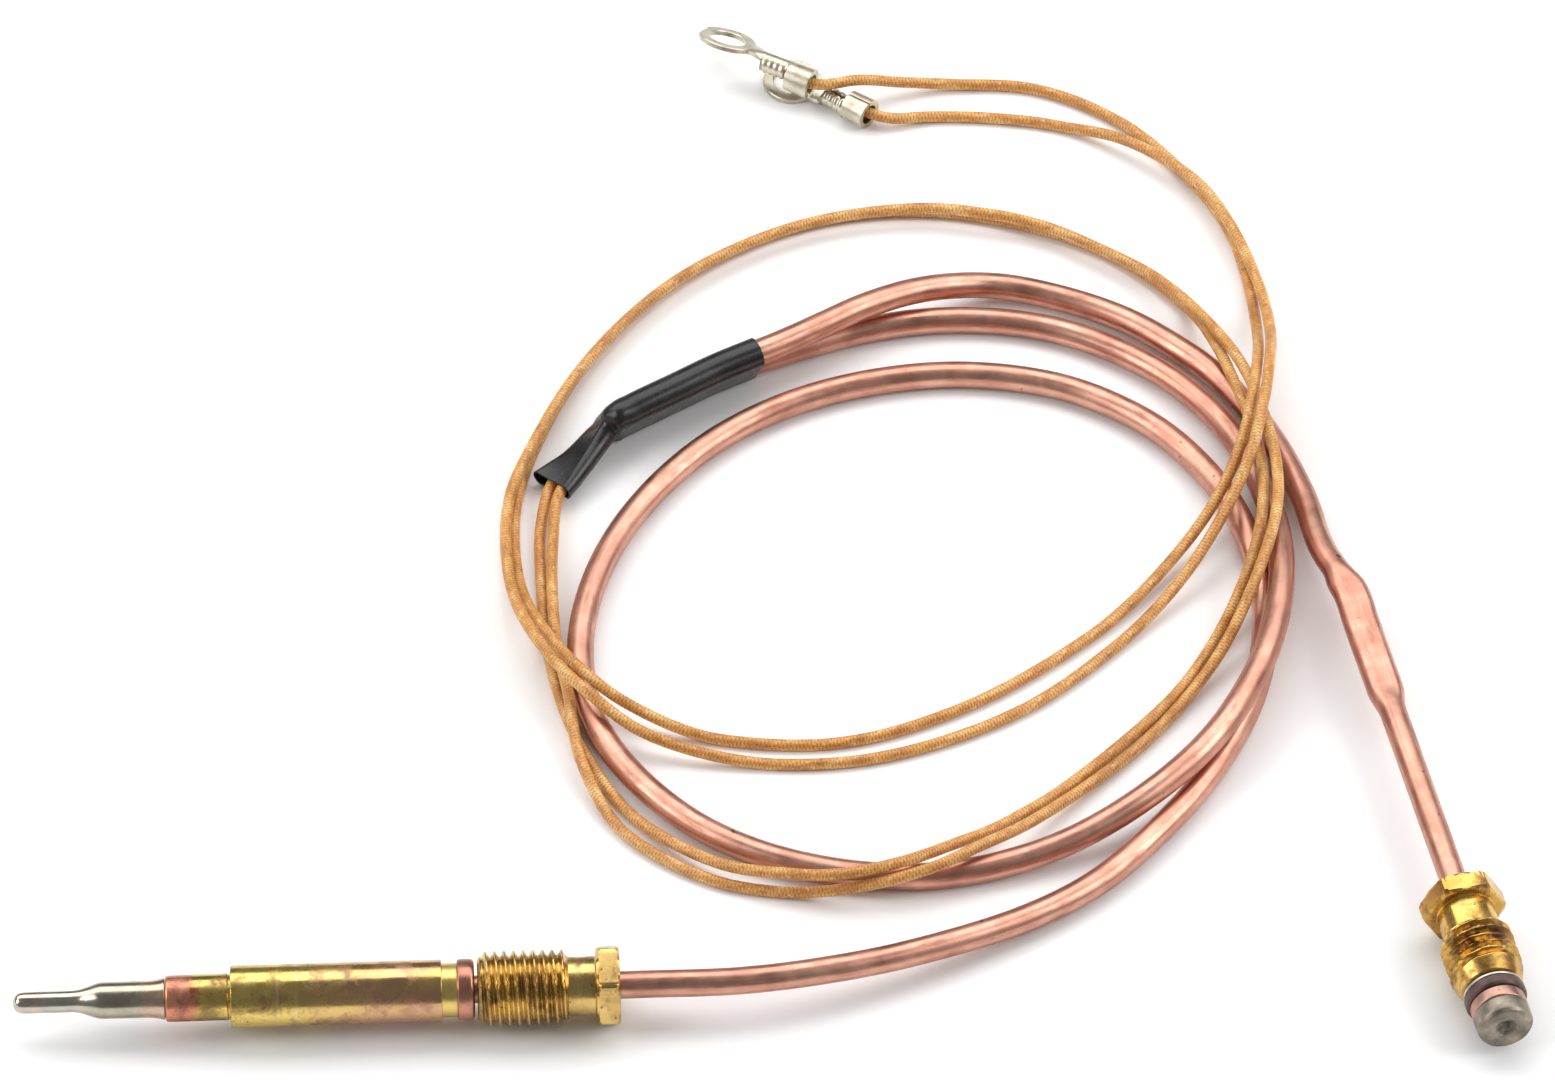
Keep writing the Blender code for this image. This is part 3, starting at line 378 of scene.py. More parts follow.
def swept_tube(name, stations, radius, material, sides, bore=0.0, shape=None):
    """Round tube or rod along stations; shape(points) may reshape it."""
    sides_at, ups = steady_frames(stations)
    steps = np.linalg.norm(np.diff(stations, axis=0), axis=1)
    along = np.concatenate(((0.0,), np.cumsum(steps)))
    angles = np.arange(sides) * math.tau / sides

    def surface(r):
        ring = r * (np.cos(angles)[None, :, None] * sides_at[:, None, :]
                    + np.sin(angles)[None, :, None] * ups[:, None, :])
        points = stations[:, None, :] + ring
        local = np.zeros_like(points)
        local[..., 0] = along[:, None]
        local[..., 1] = r * np.cos(angles)
        local[..., 2] = r * np.sin(angles)
        return points, local

    points, grain = surface(radius)
    if bore:
        inner, inner_grain = surface(bore)
        points = np.concatenate((points, inner[::-1]))
        grain = np.concatenate((grain, inner_grain[::-1]))
    if shape:
        points = shape(points)
    return grid_piece(name, points, grain, material, wrap_rows=bool(bore), caps=not bore,
                      sharp=50.0)


# ---------------- materials

class Graph:
    """Short way to write a material's nodes."""

    def __init__(self, name, grain=True):
        self.material = bpy.data.materials.new(name)
        self.material.use_nodes = True
        self.tree = self.material.node_tree
        self.shader = self.tree.nodes["Principled BSDF"]
        if grain:
            source = self.tree.nodes.new("ShaderNodeAttribute")
            source.attribute_name = "grain"
            self.place = source.outputs["Vector"]
        else:
            self.place = self.tree.nodes.new("ShaderNodeTexCoord").outputs["Object"]

    def set(self, socket, value):
        if isinstance(value, bpy.types.NodeSocket):
            self.tree.links.new(value, socket)
        else:
            socket.default_value = value

    def node(self, kind, **inputs):
        made = self.tree.nodes.new("ShaderNode" + kind)
        for key, value in inputs.items():
            self.set(made.inputs[key], value)
        return made

    def stretch(self, scale):
        made = self.node("Mapping", Vector=self.place)
        made.inputs["Scale"].default_value = scale
        return made.outputs["Vector"]

    def noise(self, scale, detail=3.0, rough=0.55, vector=None, distortion=0.0):
        made = self.node("TexNoise", Vector=vector or self.place, Scale=scale, Detail=detail,
                         Roughness=rough, Distortion=distortion)
        return made.outputs["Fac"]

    def ramp(self, fac, *stops):
        made = self.node("ValToRGB", Fac=fac)
        band = made.color_ramp.elements
        while len(band) < len(stops):
            band.new(0.5)
        for element, (place, value) in zip(band, stops):
            element.position = place
            rgb = (value,) * 3 if isinstance(value, float) else value
            element.color = (*rgb, 1.0)
        return made.outputs["Color"]

    def math(self, operation, a, b=0.0, c=0.0, clamp=False):
        made = self.tree.nodes.new("ShaderNodeMath")
        made.operation = operation
        made.use_clamp = clamp
        for socket, value in zip(made.inputs, (a, b, c)):
            self.set(socket, value)
        return made.outputs[0]

    def mix(self, fac, a, b, blend="MIX"):
        made = self.tree.nodes.new("ShaderNodeMix")
        made.data_type = "RGBA"
        made.blend_type = blend
        self.set(made.inputs["Factor"], fac)
        for socket, value in ((made.inputs[6], a), (made.inputs[7], b)):
            self.set(socket, (*value, 1.0) if isinstance(value, tuple) else value)
        return made.outputs[2]

    def part(self, axis):
        return self.node("SeparateXYZ", Vector=self.place).outputs[axis]

    def band(self, low, high, blend):
        """1 between two places along the piece, easing to 0 over blend, in millimetres."""
        x = self.part(0)
        rise = self.node("MapRange", Value=x)
        fall = self.node("MapRange", Value=x)
        for made, start, end in ((rise, low - blend, low), (fall, high + blend, high)):
            made.inputs["From Min"].default_value = start * MM
            made.inputs["From Max"].default_value = end * MM
        return self.math("MULTIPLY", rise.outputs[0], fall.outputs[0])

    def bump(self, height, strength, distance, normal=None):
        made = self.node("Bump", Height=height, Strength=strength, Distance=distance)
        if normal is not None:
            self.set(made.inputs["Normal"], normal)
        return made.outputs["Normal"]

    def finish(self, colour, roughness, metallic, normal=None, **more):
        self.set(self.shader.inputs["Base Color"], colour)
        self.set(self.shader.inputs["Roughness"], roughness)
        self.shader.inputs["Metallic"].default_value = metallic
        if normal is not None:
            self.set(self.shader.inputs["Normal"], normal)
        for key, value in more.items():
            self.shader.inputs[key.replace("_", " ")].default_value = value
        return self.material


def copper_tube():
    """Drawn copper: rosy, with long drawing streaks, brown tarnish and small dark spots."""
    g = Graph("drawn_copper")
    cloud = g.noise(230.0, 4.0, 0.6)
    streak = g.noise(1.0, 3.0, 0.6, g.stretch((90.0, 2600.0, 2600.0)))
    smear = g.noise(1.0, 4.0, 0.6, g.stretch((160.0, 620.0, 620.0)))
    colour = g.ramp(cloud, (0.30, (0.43, 0.185, 0.130)), (0.50, (0.56, 0.265, 0.190)),
                    (0.72, (0.70, 0.370, 0.275)))
    colour = g.mix(g.ramp(streak, (0.35, 0.0), (0.75, 0.45)), colour, (0.80, 0.50, 0.38))
    tarnish = g.ramp(smear, (0.56, 0.0), (0.74, 0.75))
    colour = g.mix(tarnish, colour, (0.34, 0.15, 0.10))
    spots = g.ramp(g.noise(820.0, 2.0), (0.70, 0.0), (0.76, 0.8))
    colour = g.mix(spots, colour, (0.12, 0.06, 0.045))
    rough = g.ramp(g.noise(420.0, 4.0, 0.65), (0.3, 0.28), (0.7, 0.46))
    rough = g.mix(tarnish, rough, (0.55, 0.55, 0.55))
    normal = g.bump(streak, 0.22, 0.00004)
    normal = g.bump(g.noise(650.0, 3.0), 0.30, 0.00006, normal)
    return g.finish(colour, rough, 1.0, normal)


def turned_metal(name, light, deep, stain, rough, rings, stain_from, extra=None):
    """Turned metal: fine rings round it, cloudy colour, stains and dark specks."""
    g = Graph(name)
    cloud = g.noise(210.0, 5.0, 0.62)
    ring = g.noise(1.0, 3.0, 0.6, g.stretch((rings, 40.0, 40.0)))
    colour = g.ramp(cloud, (0.34, deep), (0.62, light))
    colour = g.mix(g.ramp(ring, (0.35, 0.0), (0.7, 0.3)), colour, deep)
    blot = g.ramp(g.noise(300.0, 5.0, 0.65, distortion=0.4), (stain_from, 0.0),
                  (stain_from + 0.14, 0.8))
    colour = g.mix(blot, colour, stain)
    specks = g.ramp(g.noise(1900.0, 2.0), (0.68, 0.0), (0.74, 0.7))
    colour = g.mix(specks, colour, tuple(c * 0.25 for c in stain))
    if extra:
        colour = extra(g, colour)
    roughness = g.ramp(g.noise(380.0, 4.0, 0.6), (0.3, rough[0]), (0.7, rough[1]))
    roughness = g.mix(blot, roughness, (0.5, 0.5, 0.5))
    normal = g.bump(ring, 0.25, 0.00003)
    normal = g.bump(g.noise(900.0, 3.0), 0.18, 0.00004, normal)
    return g.finish(colour, roughness, 1.0, normal)


def rosy_end(g, colour):
    """The barrel turns rosy towards its rear end, and two fine turned lines run round it."""
    patch = g.math("MULTIPLY", g.band(37.0, 46.0, 9.0),
                   g.ramp(g.noise(260.0, 4.0), (0.35, 0.25), (0.65, 1.0)))
    colour = g.mix(patch, colour, (0.56, 0.30, 0.20))
    marks = g.math("ADD", g.band(27.55, 27.75, 0.12), g.band(29.5, 29.75, 0.12))
    return g.mix(g.math("MULTIPLY", marks, 0.2), colour, (0.86, 0.66, 0.36))


def burnt_top(g, colour):
    """A brown burnt patch on the upper side of the threads."""
    side = g.node("MapRange", Value=g.part(2))
    side.inputs["From Min"].default_value = 1.2 * MM
    side.inputs["From Max"].default_value = 3.0 * MM
    patch = g.math("MULTIPLY", side.outputs[0], g.band(8.8, 11.4, 1.0))
    patch = g.math("MULTIPLY", patch, g.ramp(g.noise(650.0, 4.0, 0.7), (0.40, 0.0), (0.58, 0.9)))
    return g.mix(patch, colour, (0.10, 0.045, 0.03))


def yellow_groove(g, colour):
    """The groove in front of the collar is bare brass."""
    return g.mix(g.band(44.0, 46.25, 0.15), colour, (0.74, 0.55, 0.17))


def braze_bleed(g, colour):
    """Copper that has crept over the front of the neck, with a ragged edge."""
    x = g.part(0)
    ragged = g.math("MULTIPLY", g.noise(420.0, 4.0, 0.7), 0.0042)
    edge = g.math("SUBTRACT", g.math("ADD", (BRAZE_END - 1.3) * MM, ragged), x)
    fac = g.math("MULTIPLY", edge, 2600.0, clamp=True)
    return g.mix(fac, colour, (0.60, 0.22, 0.12))


def barrel_marks(g, colour):
    return braze_bleed(g, rosy_end(g, colour))


def heat_tint(g, colour):
    """Straw and blue temper colours, strongest at the thin end of the tip."""
    warm = g.ramp(g.noise(1.0, 3.0, 0.5, g.stretch((260.0, 420.0, 420.0))),
                  (0.35, (0.58, 0.50, 0.38)), (0.5, (0.68, 0.60, 0.48)),
                  (0.66, (0.40, 0.44, 0.46)))
    colour = g.mix(g.math("MULTIPLY", g.band(-1.0, 6.5, 3.0), 0.6), colour, warm)
    return g.mix(g.math("MULTIPLY", g.band(14.0, 16.0, 1.0), 0.55), colour, (0.66, 0.42, 0.30))


def wire_covering():
    """Varnished glass-fibre lapping: fine crossing threads, amber with brown and straw patches; the
    golden straw patches are partly real mottling and partly a painted highlight.
    """
    g = Graph("fibre_lapping")
    x, y, z = (g.part(i) for i in range(3))
    turn = g.math("ARCTAN2", z, y)
    lays = []
    for sense, lead in ((1.0, 0.00105), (-1.0, 0.00135)):
        phase = g.math("MULTIPLY", x, math.tau / lead)
        threads = g.math("ADD", g.math("MULTIPLY", phase, 3.0),
                         g.math("MULTIPLY", turn, 3.0 * sense))
        lays.append(g.math("SINE", threads))
    weave = g.math("MULTIPLY", g.math("ADD", lays[0], lays[1]), 0.25)
    weave = g.math("ADD", weave, 0.5)
    patch = g.noise(1.0, 4.0, 0.65, g.stretch((330.0, 900.0, 900.0)))
    # partly painted highlight: the golden top of this ramp stands partly for real mottling and
    # partly for the wire's highlight
    colour = g.ramp(patch, (0.32, (0.47, 0.19, 0.034)), (0.5, (0.70, 0.32, 0.068)),
                    (0.68, (0.88, 0.56, 0.20)))
    colour = g.mix(g.ramp(weave, (0.25, 0.55), (0.6, 0.0)), colour, (0.26, 0.09, 0.02))
    fleck = g.ramp(g.noise(2100.0, 2.0), (0.62, 0.0), (0.72, 0.6))
    colour = g.mix(fleck, colour, (0.86, 0.66, 0.34))
    dark = g.ramp(g.noise(700.0, 3.0), (0.64, 0.0), (0.74, 0.6))
    colour = g.mix(dark, colour, (0.20, 0.08, 0.02))
    rough = g.ramp(g.noise(900.0, 3.0), (0.3, 0.34), (0.7, 0.62))
    normal = g.bump(weave, 0.55, 0.00007)
    normal = g.bump(g.noise(3000.0, 3.0), 0.25, 0.00003, normal)
    return g.finish(colour, rough, 0.0, normal, Coat_Weight=0.25, Coat_Roughness=0.3)


def shrunk_sleeve():
    """Black shrunk film: satin, faintly drawn along its length, with a little dust."""
    g = Graph("shrunk_sleeve")
    colour = g.ramp(g.noise(300.0, 4.0), (0.35, (0.006, 0.006, 0.006)),
                    (0.7, (0.018, 0.018, 0.018)))
    dust = g.ramp(g.noise(2400.0, 3.0), (0.66, 0.0), (0.78, 0.35))
    colour = g.mix(dust, colour, (0.16, 0.15, 0.14))
    rough = g.ramp(g.noise(520.0, 4.0, 0.6), (0.3, 0.20), (0.7, 0.34))
    normal = g.bump(g.noise(1.0, 4.0, 0.6, g.stretch((200.0, 500.0, 500.0))), 0.3, 0.00006)
    normal = g.bump(g.noise(3800.0, 2.0), 0.08, 0.00001, normal)
    return g.finish(colour, rough, 0.0, normal, Specular_IOR_Level=0.45)


def tin_plate():
    """Tinned brass sheet, warm where the tin is rubbed thin."""
    g = Graph("tin_plate")
    cloud = g.noise(420.0, 4.0, 0.6)
    colour = g.ramp(cloud, (0.35, (0.46, 0.42, 0.32)), (0.6, (0.70, 0.645, 0.52)))
    rub = g.ramp(g.noise(900.0, 4.0, 0.7), (0.60, 0.0), (0.72, 0.6))
    colour = g.mix(rub, colour, (0.42, 0.33, 0.19))
    rough = g.ramp(g.noise(700.0, 3.0), (0.3, 0.30), (0.7, 0.48))
    normal = g.bump(g.noise(1100.0, 3.0), 0.30, 0.00006)
    return g.finish(colour, rough, 1.0, normal)


def dull_solder():
    """Dull solder with turned rings, and painted shade that darkens the pit in the middle of its
    face.
    """
    ring_pitch = 0.00021
    g = Graph("dull_solder")
    ring = g.noise(1.0, 3.0, 0.6, g.stretch((900.0, 500.0, 500.0)))
    distance = g.math("SQRT", g.math("ADD", g.math("POWER", g.part(1), 2.0),
                                     g.math("POWER", g.part(2), 2.0)))
    rings = g.math("SINE", g.math("MULTIPLY", distance, math.tau / ring_pitch))
    rings = g.math("MULTIPLY_ADD", rings, 0.5, 0.5)
    colour = g.ramp(g.noise(380.0, 5.0, 0.6), (0.34, (0.15, 0.13, 0.10)),
                    (0.5, (0.26, 0.225, 0.18)), (0.68, (0.46, 0.40, 0.32)))
    colour = g.mix(g.ramp(ring, (0.55, 0.0), (0.75, 0.5)), colour, (0.30, 0.18, 0.14))
    # painted shade: the colour darkens towards the middle of the pit in the face, with a ragged
    # edge
    painted_pit_shade = g.math("SUBTRACT", 1.6, g.math("MULTIPLY", distance, 1.25 / MM), clamp=True)
    face = g.band(-1.0, 0.6, 0.4)
    ragged = g.ramp(g.noise(1300.0, 4.0, 0.7), (0.38, 1.0), (0.62, 0.35))
    colour = g.mix(g.math("MULTIPLY", g.math("MULTIPLY", painted_pit_shade, face), ragged), colour,
                   (0.045, 0.042, 0.035))
    rough = g.ramp(g.noise(900.0, 4.0), (0.3, 0.36), (0.7, 0.60))
    normal = g.bump(rings, 0.5, 0.00004)
    normal = g.bump(g.noise(1500.0, 4.0, 0.7), 0.3, 0.00008, normal)
    return g.finish(colour, rough, 1.0, normal)


def pressed_fibre():
    """Brown pressed fibre of the insulating washer."""
    g = Graph("pressed_fibre")
    colour = g.ramp(g.noise(700.0, 4.0), (0.35, (0.055, 0.025, 0.022)),
                    (0.65, (0.14, 0.065, 0.055)))
    normal = g.bump(g.noise(2600.0, 3.0), 0.4, 0.00005)
    return g.finish(colour, g.ramp(g.noise(900.0, 2.0), (0.3, 0.35), (0.7, 0.55)), 0.0, normal)


def plain_grain(name, light, dark, metallic, rough):
    """For pieces that stay out of sight inside the part."""
    scale = 900.0
    g = Graph(name, grain=False)
    colour = g.ramp(g.noise(scale, 4.0), (0.35, dark), (0.65, light))
    normal = g.bump(g.noise(scale * 3.0, 3.0), 0.3, 0.00004)
    return g.finish(colour, g.ramp(g.noise(scale, 2.0), (0.3, rough - 0.1), (0.7, rough + 0.1)),
                    metallic, normal)


def end_metals(tin):
    """Materials of the probe and the contact end, by piece."""
    return {
        "sheath": turned_metal(
            "tip_steel", (0.58, 0.51, 0.39), (0.34, 0.31, 0.25), (0.36, 0.30, 0.22),
            rough=(0.14, 0.3), rings=900.0, stain_from=0.6, extra=heat_tint),
        "braze": turned_metal(
            "braze_metal", (0.78, 0.36, 0.22), (0.52, 0.20, 0.12), (0.30, 0.11, 0.09),
            rough=(0.25, 0.45), rings=600.0, stain_from=0.52),
        "barrel": turned_metal(
            "barrel_brass", (0.76, 0.57, 0.17), (0.54, 0.38, 0.10), (0.20, 0.12, 0.06),
            rough=(0.14, 0.28), rings=5200.0, stain_from=0.49, extra=barrel_marks),
        "collar": turned_metal(
            "collar_metal", (0.58, 0.27, 0.18), (0.38, 0.17, 0.12), (0.22, 0.10, 0.09),
            rough=(0.24, 0.42), rings=2500.0, stain_from=0.54, extra=yellow_groove),
        "nut": turned_metal(
            "nut_metal", (0.72, 0.50, 0.18), (0.46, 0.30, 0.10), (0.20, 0.11, 0.06),
            rough=(0.16, 0.32), rings=3800.0, stain_from=0.53),
        "worn_nut": turned_metal(
            "worn_nut_metal", (0.76, 0.48, 0.13), (0.48, 0.26, 0.06), (0.13, 0.06, 0.03),
            rough=(0.16, 0.34), rings=3000.0, stain_from=0.50, extra=burnt_top),
        # painted shade: this copper band gets darker colours than the copper leads because it sits
        # in shade
        "band": turned_metal(
            "band_copper_painted_shade", (0.56, 0.34, 0.26), (0.38, 0.22, 0.17), (0.34, 0.22, 0.18),
            rough=(0.32, 0.5), rings=1600.0, stain_from=0.55),
        "solder": dull_solder(),
        "washer": pressed_fibre(),
        "tin": tin,
    }


# ---------------- probe and contact end

def hexagon_radius(angles, flat, turn):
    """Distance from the axis to a hexagon with slightly eased corners."""
    soft = 0.07
    total = np.zeros_like(angles)
    for k in range(6):
        off = angles - turn - math.pi / 6.0 - k * math.pi / 3.0
        reach = np.cos(off)
        distance = np.where(reach > 0.2, flat / np.maximum(reach, 0.2), 1e3)
        total += np.exp(-(distance - flat) / soft)
    return flat - soft * np.log(total)


def thread_radius(s, angles):
    """Right-hand thread form: rounded root, narrow crest."""
    sharpness = 1.25
    phase = np.mod(s / PITCH + angles / math.tau, 1.0)
    ramp = np.abs(phase - 0.5) * 2.0
    form = np.clip((1.0 - ramp) * sharpness - 0.12, 0.0, 1.0)
    form = form * form * (3.0 - 2.0 * form) * 0.5 + form * 0.5
    return THREAD_ROOT_R + (THREAD_R - THREAD_ROOT_R) * form


def gland_nut(name, axes, material, start, thread, shank, hexagon, turn, nose, wear=0.0,
              plain=0.0):
    """Threaded nose, plain shank and hexagon in one skin, with the bore through it."""
    columns = 288
    rows_per_mm = 22
    tip_break = 0.12
    runout_length = 0.6
    plain_fade = 0.5
    wear_size = 1.1
    wear_seed = 9.0
    root_fillet = 0.12
    bore_edge = 0.15
    angles = np.arange(columns) * math.tau / columns
    thread_end = start + thread
    shank_end = thread_end + shank
    rear = shank_end + hexagon
    rows = []
    for s in np.linspace(start, thread_end, round(thread * rows_per_mm)):
        into = s - start
        limit = nose[1] + (THREAD_R - nose[1]) * min(max(into / nose[0], 0.0), 1.0)
        if into < tip_break:
            limit -= tip_break - into
        runout = min(max((thread_end - s) / runout_length, 0.0), 1.0)
        radii = thread_radius(s, angles)
        if wear:
            rub = np.array([ripple(s, a, wear_size, wear_seed) for a in angles])
            radii -= wear * np.clip(rub + 0.15, 0.0, 1.0)
        radii = SHANK_R + (radii - SHANK_R) * (runout ** 0.5)
        filled = min(max((plain - into) / plain_fade, 0.0), 1.0)
        radii = np.minimum(radii, limit)
        rows.append((s, radii + (limit - radii) * filled))
    for s in np.linspace(thread_end + 0.05, shank_end - root_fillet, 8):
        rows.append((s, np.full(columns, SHANK_R)))
    rows.append((shank_end, np.full(columns, SHANK_R + root_fillet)))
    # both faces of the hexagon are turned off at an angle: depth and largest radius there
    six = hexagon_radius(angles, HEX_FLAT, turn)
    front = ((0.0, HEX_FLAT - 0.25), (0.04, HEX_FLAT - 0.1), (0.3, HEX_FLAT + 0.38),
             (0.5, HEX_FLAT + 0.7))
    back = ((0.38, HEX_FLAT + 0.7), (0.22, HEX_FLAT + 0.38), (0.04, HEX_FLAT - 0.02),
            (0.0, HEX_FLAT - 0.2))
    rows += [(shank_end + depth, np.minimum(six, limit)) for depth, limit in front]
    rows += [(rear - depth, np.minimum(six, limit)) for depth, limit in back]
    rows.append((rear, np.full(columns, NUT_BORE_R + bore_edge)))
    rows.append((rear - bore_edge, np.full(columns, NUT_BORE_R)))
    rows.append((start + bore_edge, np.full(columns, NUT_BORE_R)))
    rows.append((start, np.full(columns, NUT_BORE_R + bore_edge)))
    local = np.zeros((len(rows), columns, 3))
    grain = np.zeros_like(local)
    for i, (s, radii) in enumerate(rows):
        local[i, :, 0] = radii * np.cos(angles)
        local[i, :, 1] = radii * np.sin(angles)
        local[i, :, 2] = -s
        grain[i, :, 0] = s
        grain[i, :, 1:] = local[i, :, :2]
    piece = grid_piece(name + "_skin", axes.world(local), grain, material, wrap_rows=True,
                       sharp=28.0)
    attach(piece, name)
    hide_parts(name)


def fixed(piece, slot, *nodes):
    """A piece of the main body that stands for CAD nodes."""
    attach(piece, BODY)
    if nodes:
        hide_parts(*nodes)
    return piece


def build_probe(axes, metals):
    """Turned pieces from the tip back; corners are (radius, place, fillet)."""
    tip = [(AXIS_R, 0.0), (0.55, 0.1, 0.2), (1.0, 0.45, 0.3), (TIP_R, 1.05, 0.4), (1.14, 6.7, 0.6),
           (1.93, 9.0, 0.5), (SHEATH_R, 14.6, 0.5), (2.2, SHEATH_END - 0.1, 0.08),
           (2.12, SHEATH_END, 0.04), (CORE_BORE_R, SHEATH_END), (CORE_BORE_R, 1.6), (AXIS_R, 1.6)]
    fixed(lathe("tip_sheath", axes, tip, metals["sheath"], closed=False, uneven=0.02),
          "sheath_steel", "hot_junction_tip")
    braze_end = BRAZE_END + 0.1
    braze = [(2.3, SHEATH_END + 0.06, 0.05), (2.42, SHEATH_END + 0.2, 0.1),
             (NECK_R, SHEATH_END + 0.9, 0.2), (2.44, braze_end), (CORE_BORE_R, braze_end),
             (CORE_BORE_R, SHEATH_END + 0.06)]
    fixed(lathe("braze_fillet", axes, braze, metals["braze"], closed=True, uneven=0.045),
          "braze_copper", "braze_ring")
    hollow_start = NECK_END + 0.8
    body = [(2.44, braze_end, 0.02), (NECK_R, NECK_END - 0.35, 0.05), (2.36, NECK_END - 0.25, 0.04),
            (2.36, NECK_END, 0.03), (BARREL_R, NECK_END, 0.14), (BARREL_R, BARREL_END, 0.12),
            (2.35, BARREL_END), (2.35, hollow_start), (CORE_BORE_R, hollow_start),
            (CORE_BORE_R, braze_end)]
    fixed(lathe("brass_body", axes, body, metals["barrel"], closed=True, segments=128,
                uneven=0.012), "brass", "probe_body")
    collar = [(2.84, BARREL_END), (2.84, COLLAR_START, 0.06), (COLLAR_R, COLLAR_START, 0.22),
              (3.22, COLLAR_START + 0.9, 0.3), (COLLAR_R, COLLAR_END, 0.55), (1.6, COLLAR_END, 0.1),
              (1.6, BARREL_END)]
    fixed(lathe("rosy_collar", axes, collar, metals["collar"], closed=True, uneven=0.03),
          "collar_copper", "probe_collar")
    gland_nut("probe_nut", axes, metals["nut"], **PROBE_NUT)


def build_contact_end(axes, metals):
    """Turned pieces from the button's face back; corners are (radius, place, fillet)."""
    gland_nut("contact_nut", axes, metals["worn_nut"], **CONTACT_NUT)
    button = [(AXIS_R, 0.62), (0.3, 0.58), (0.7, 0.5, 0.1), (1.1, 0.12, 0.15), (1.4, 0.0, 0.12),
              (2.72, 0.0, 0.2), (2.98, 0.4, 0.2), (BUTTON_R, 2.1, 0.1), (0.45, 2.1), (0.45, 1.5),
              (AXIS_R, 1.5)]
    fixed(lathe("solder_button", axes, button, metals["solder"], closed=False, uneven=0.05),
          "solder", "contact_solder_tip")
    band = [(2.88, 2.2, 0.05), (BUTTON_R, 2.32, 0.08), (BUTTON_R, 3.55, 0.1), (0.6, 3.55),
            (0.6, 2.2)]
    fixed(lathe("copper_band", axes, band, metals["band"], closed=True, uneven=0.03),
          "copper_lead", "contact_cap")
    washer = [(3.08, 3.65, 0.08), (RIM_R, 3.95, 0.15), (RIM_R, 4.85, 0.06), (CONTACT_BORE_R, 4.85),
              (CONTACT_BORE_R, 3.65)]
    fixed(lathe("fibre_washer", axes, washer, metals["washer"], closed=True, uneven=0.02),
          "washer_fibre", "insulating_washer")
    rim = [(RIM_R, 4.95, 0.06), (RIM_R, 5.25, 0.06), (CONTACT_BORE_R, 5.25), (CONTACT_BORE_R, 4.95)]
    fixed(lathe("bright_rim", axes, rim, metals["tin"], closed=True), "tinned_brass",
          "contact_flange")


def build_probe_lead(axes, material):
    straight = [axes.back(s) for s in PROBE_LEAD_PINS]
    stations = resting_route(straight + list(PROBE_LEAD_ROUTE), PROBE_LEAD_STEP, TUBE_R)
    tube = swept_tube("copper_tube_probe", stations, TUBE_R, material, TUBE_SIDES,
                      TUBE_R - TUBE_WALL)
    fixed(tube, "copper_lead", "lead_tube_probe")


def build_contact_lead(axes, material):
    run = np.linalg.norm(LAND_END - CONTACT_FACE)
    land_pins = (run + 15.0, run + 10.0, run + 5.0, run)
    straight = [axes.back(s) for s in land_pins + CONTACT_LEAD_PINS]
    stations = resting_route(list(CONTACT_LEAD_ROUTE) + straight, CONTACT_LEAD_STEP, TUBE_R)

    def press(points):
        """Flatten the marking land, easing back to round at both ends."""
        offset = points - axes.origin
        along = -(offset @ axes.z) - run
        across, height = offset @ axes.x, offset @ axes.y
        ease = np.clip((np.minimum(along, LAND_LENGTH - along) + LAND_BLEND) / LAND_BLEND, 0, 1)
        ease = ease * ease * (3.0 - 2.0 * ease)
        wide = across * (LAND_WIDEN - 1.0) * ease
        flat = TUBE_R * LAND_THIN
        squared = np.sign(height) * flat * np.minimum(np.abs(height) / flat, 1.0) ** 0.8
        thin = (squared - height) * ease
        return points + wide[..., None] * axes.x + thin[..., None] * axes.y

    tube = swept_tube("copper_tube_contact", stations, TUBE_R, material, TUBE_SIDES,
                      TUBE_R - TUBE_WALL, press)
    fixed(tube, "copper_lead", "lead_tube_contact")


# ---------------- sleeve

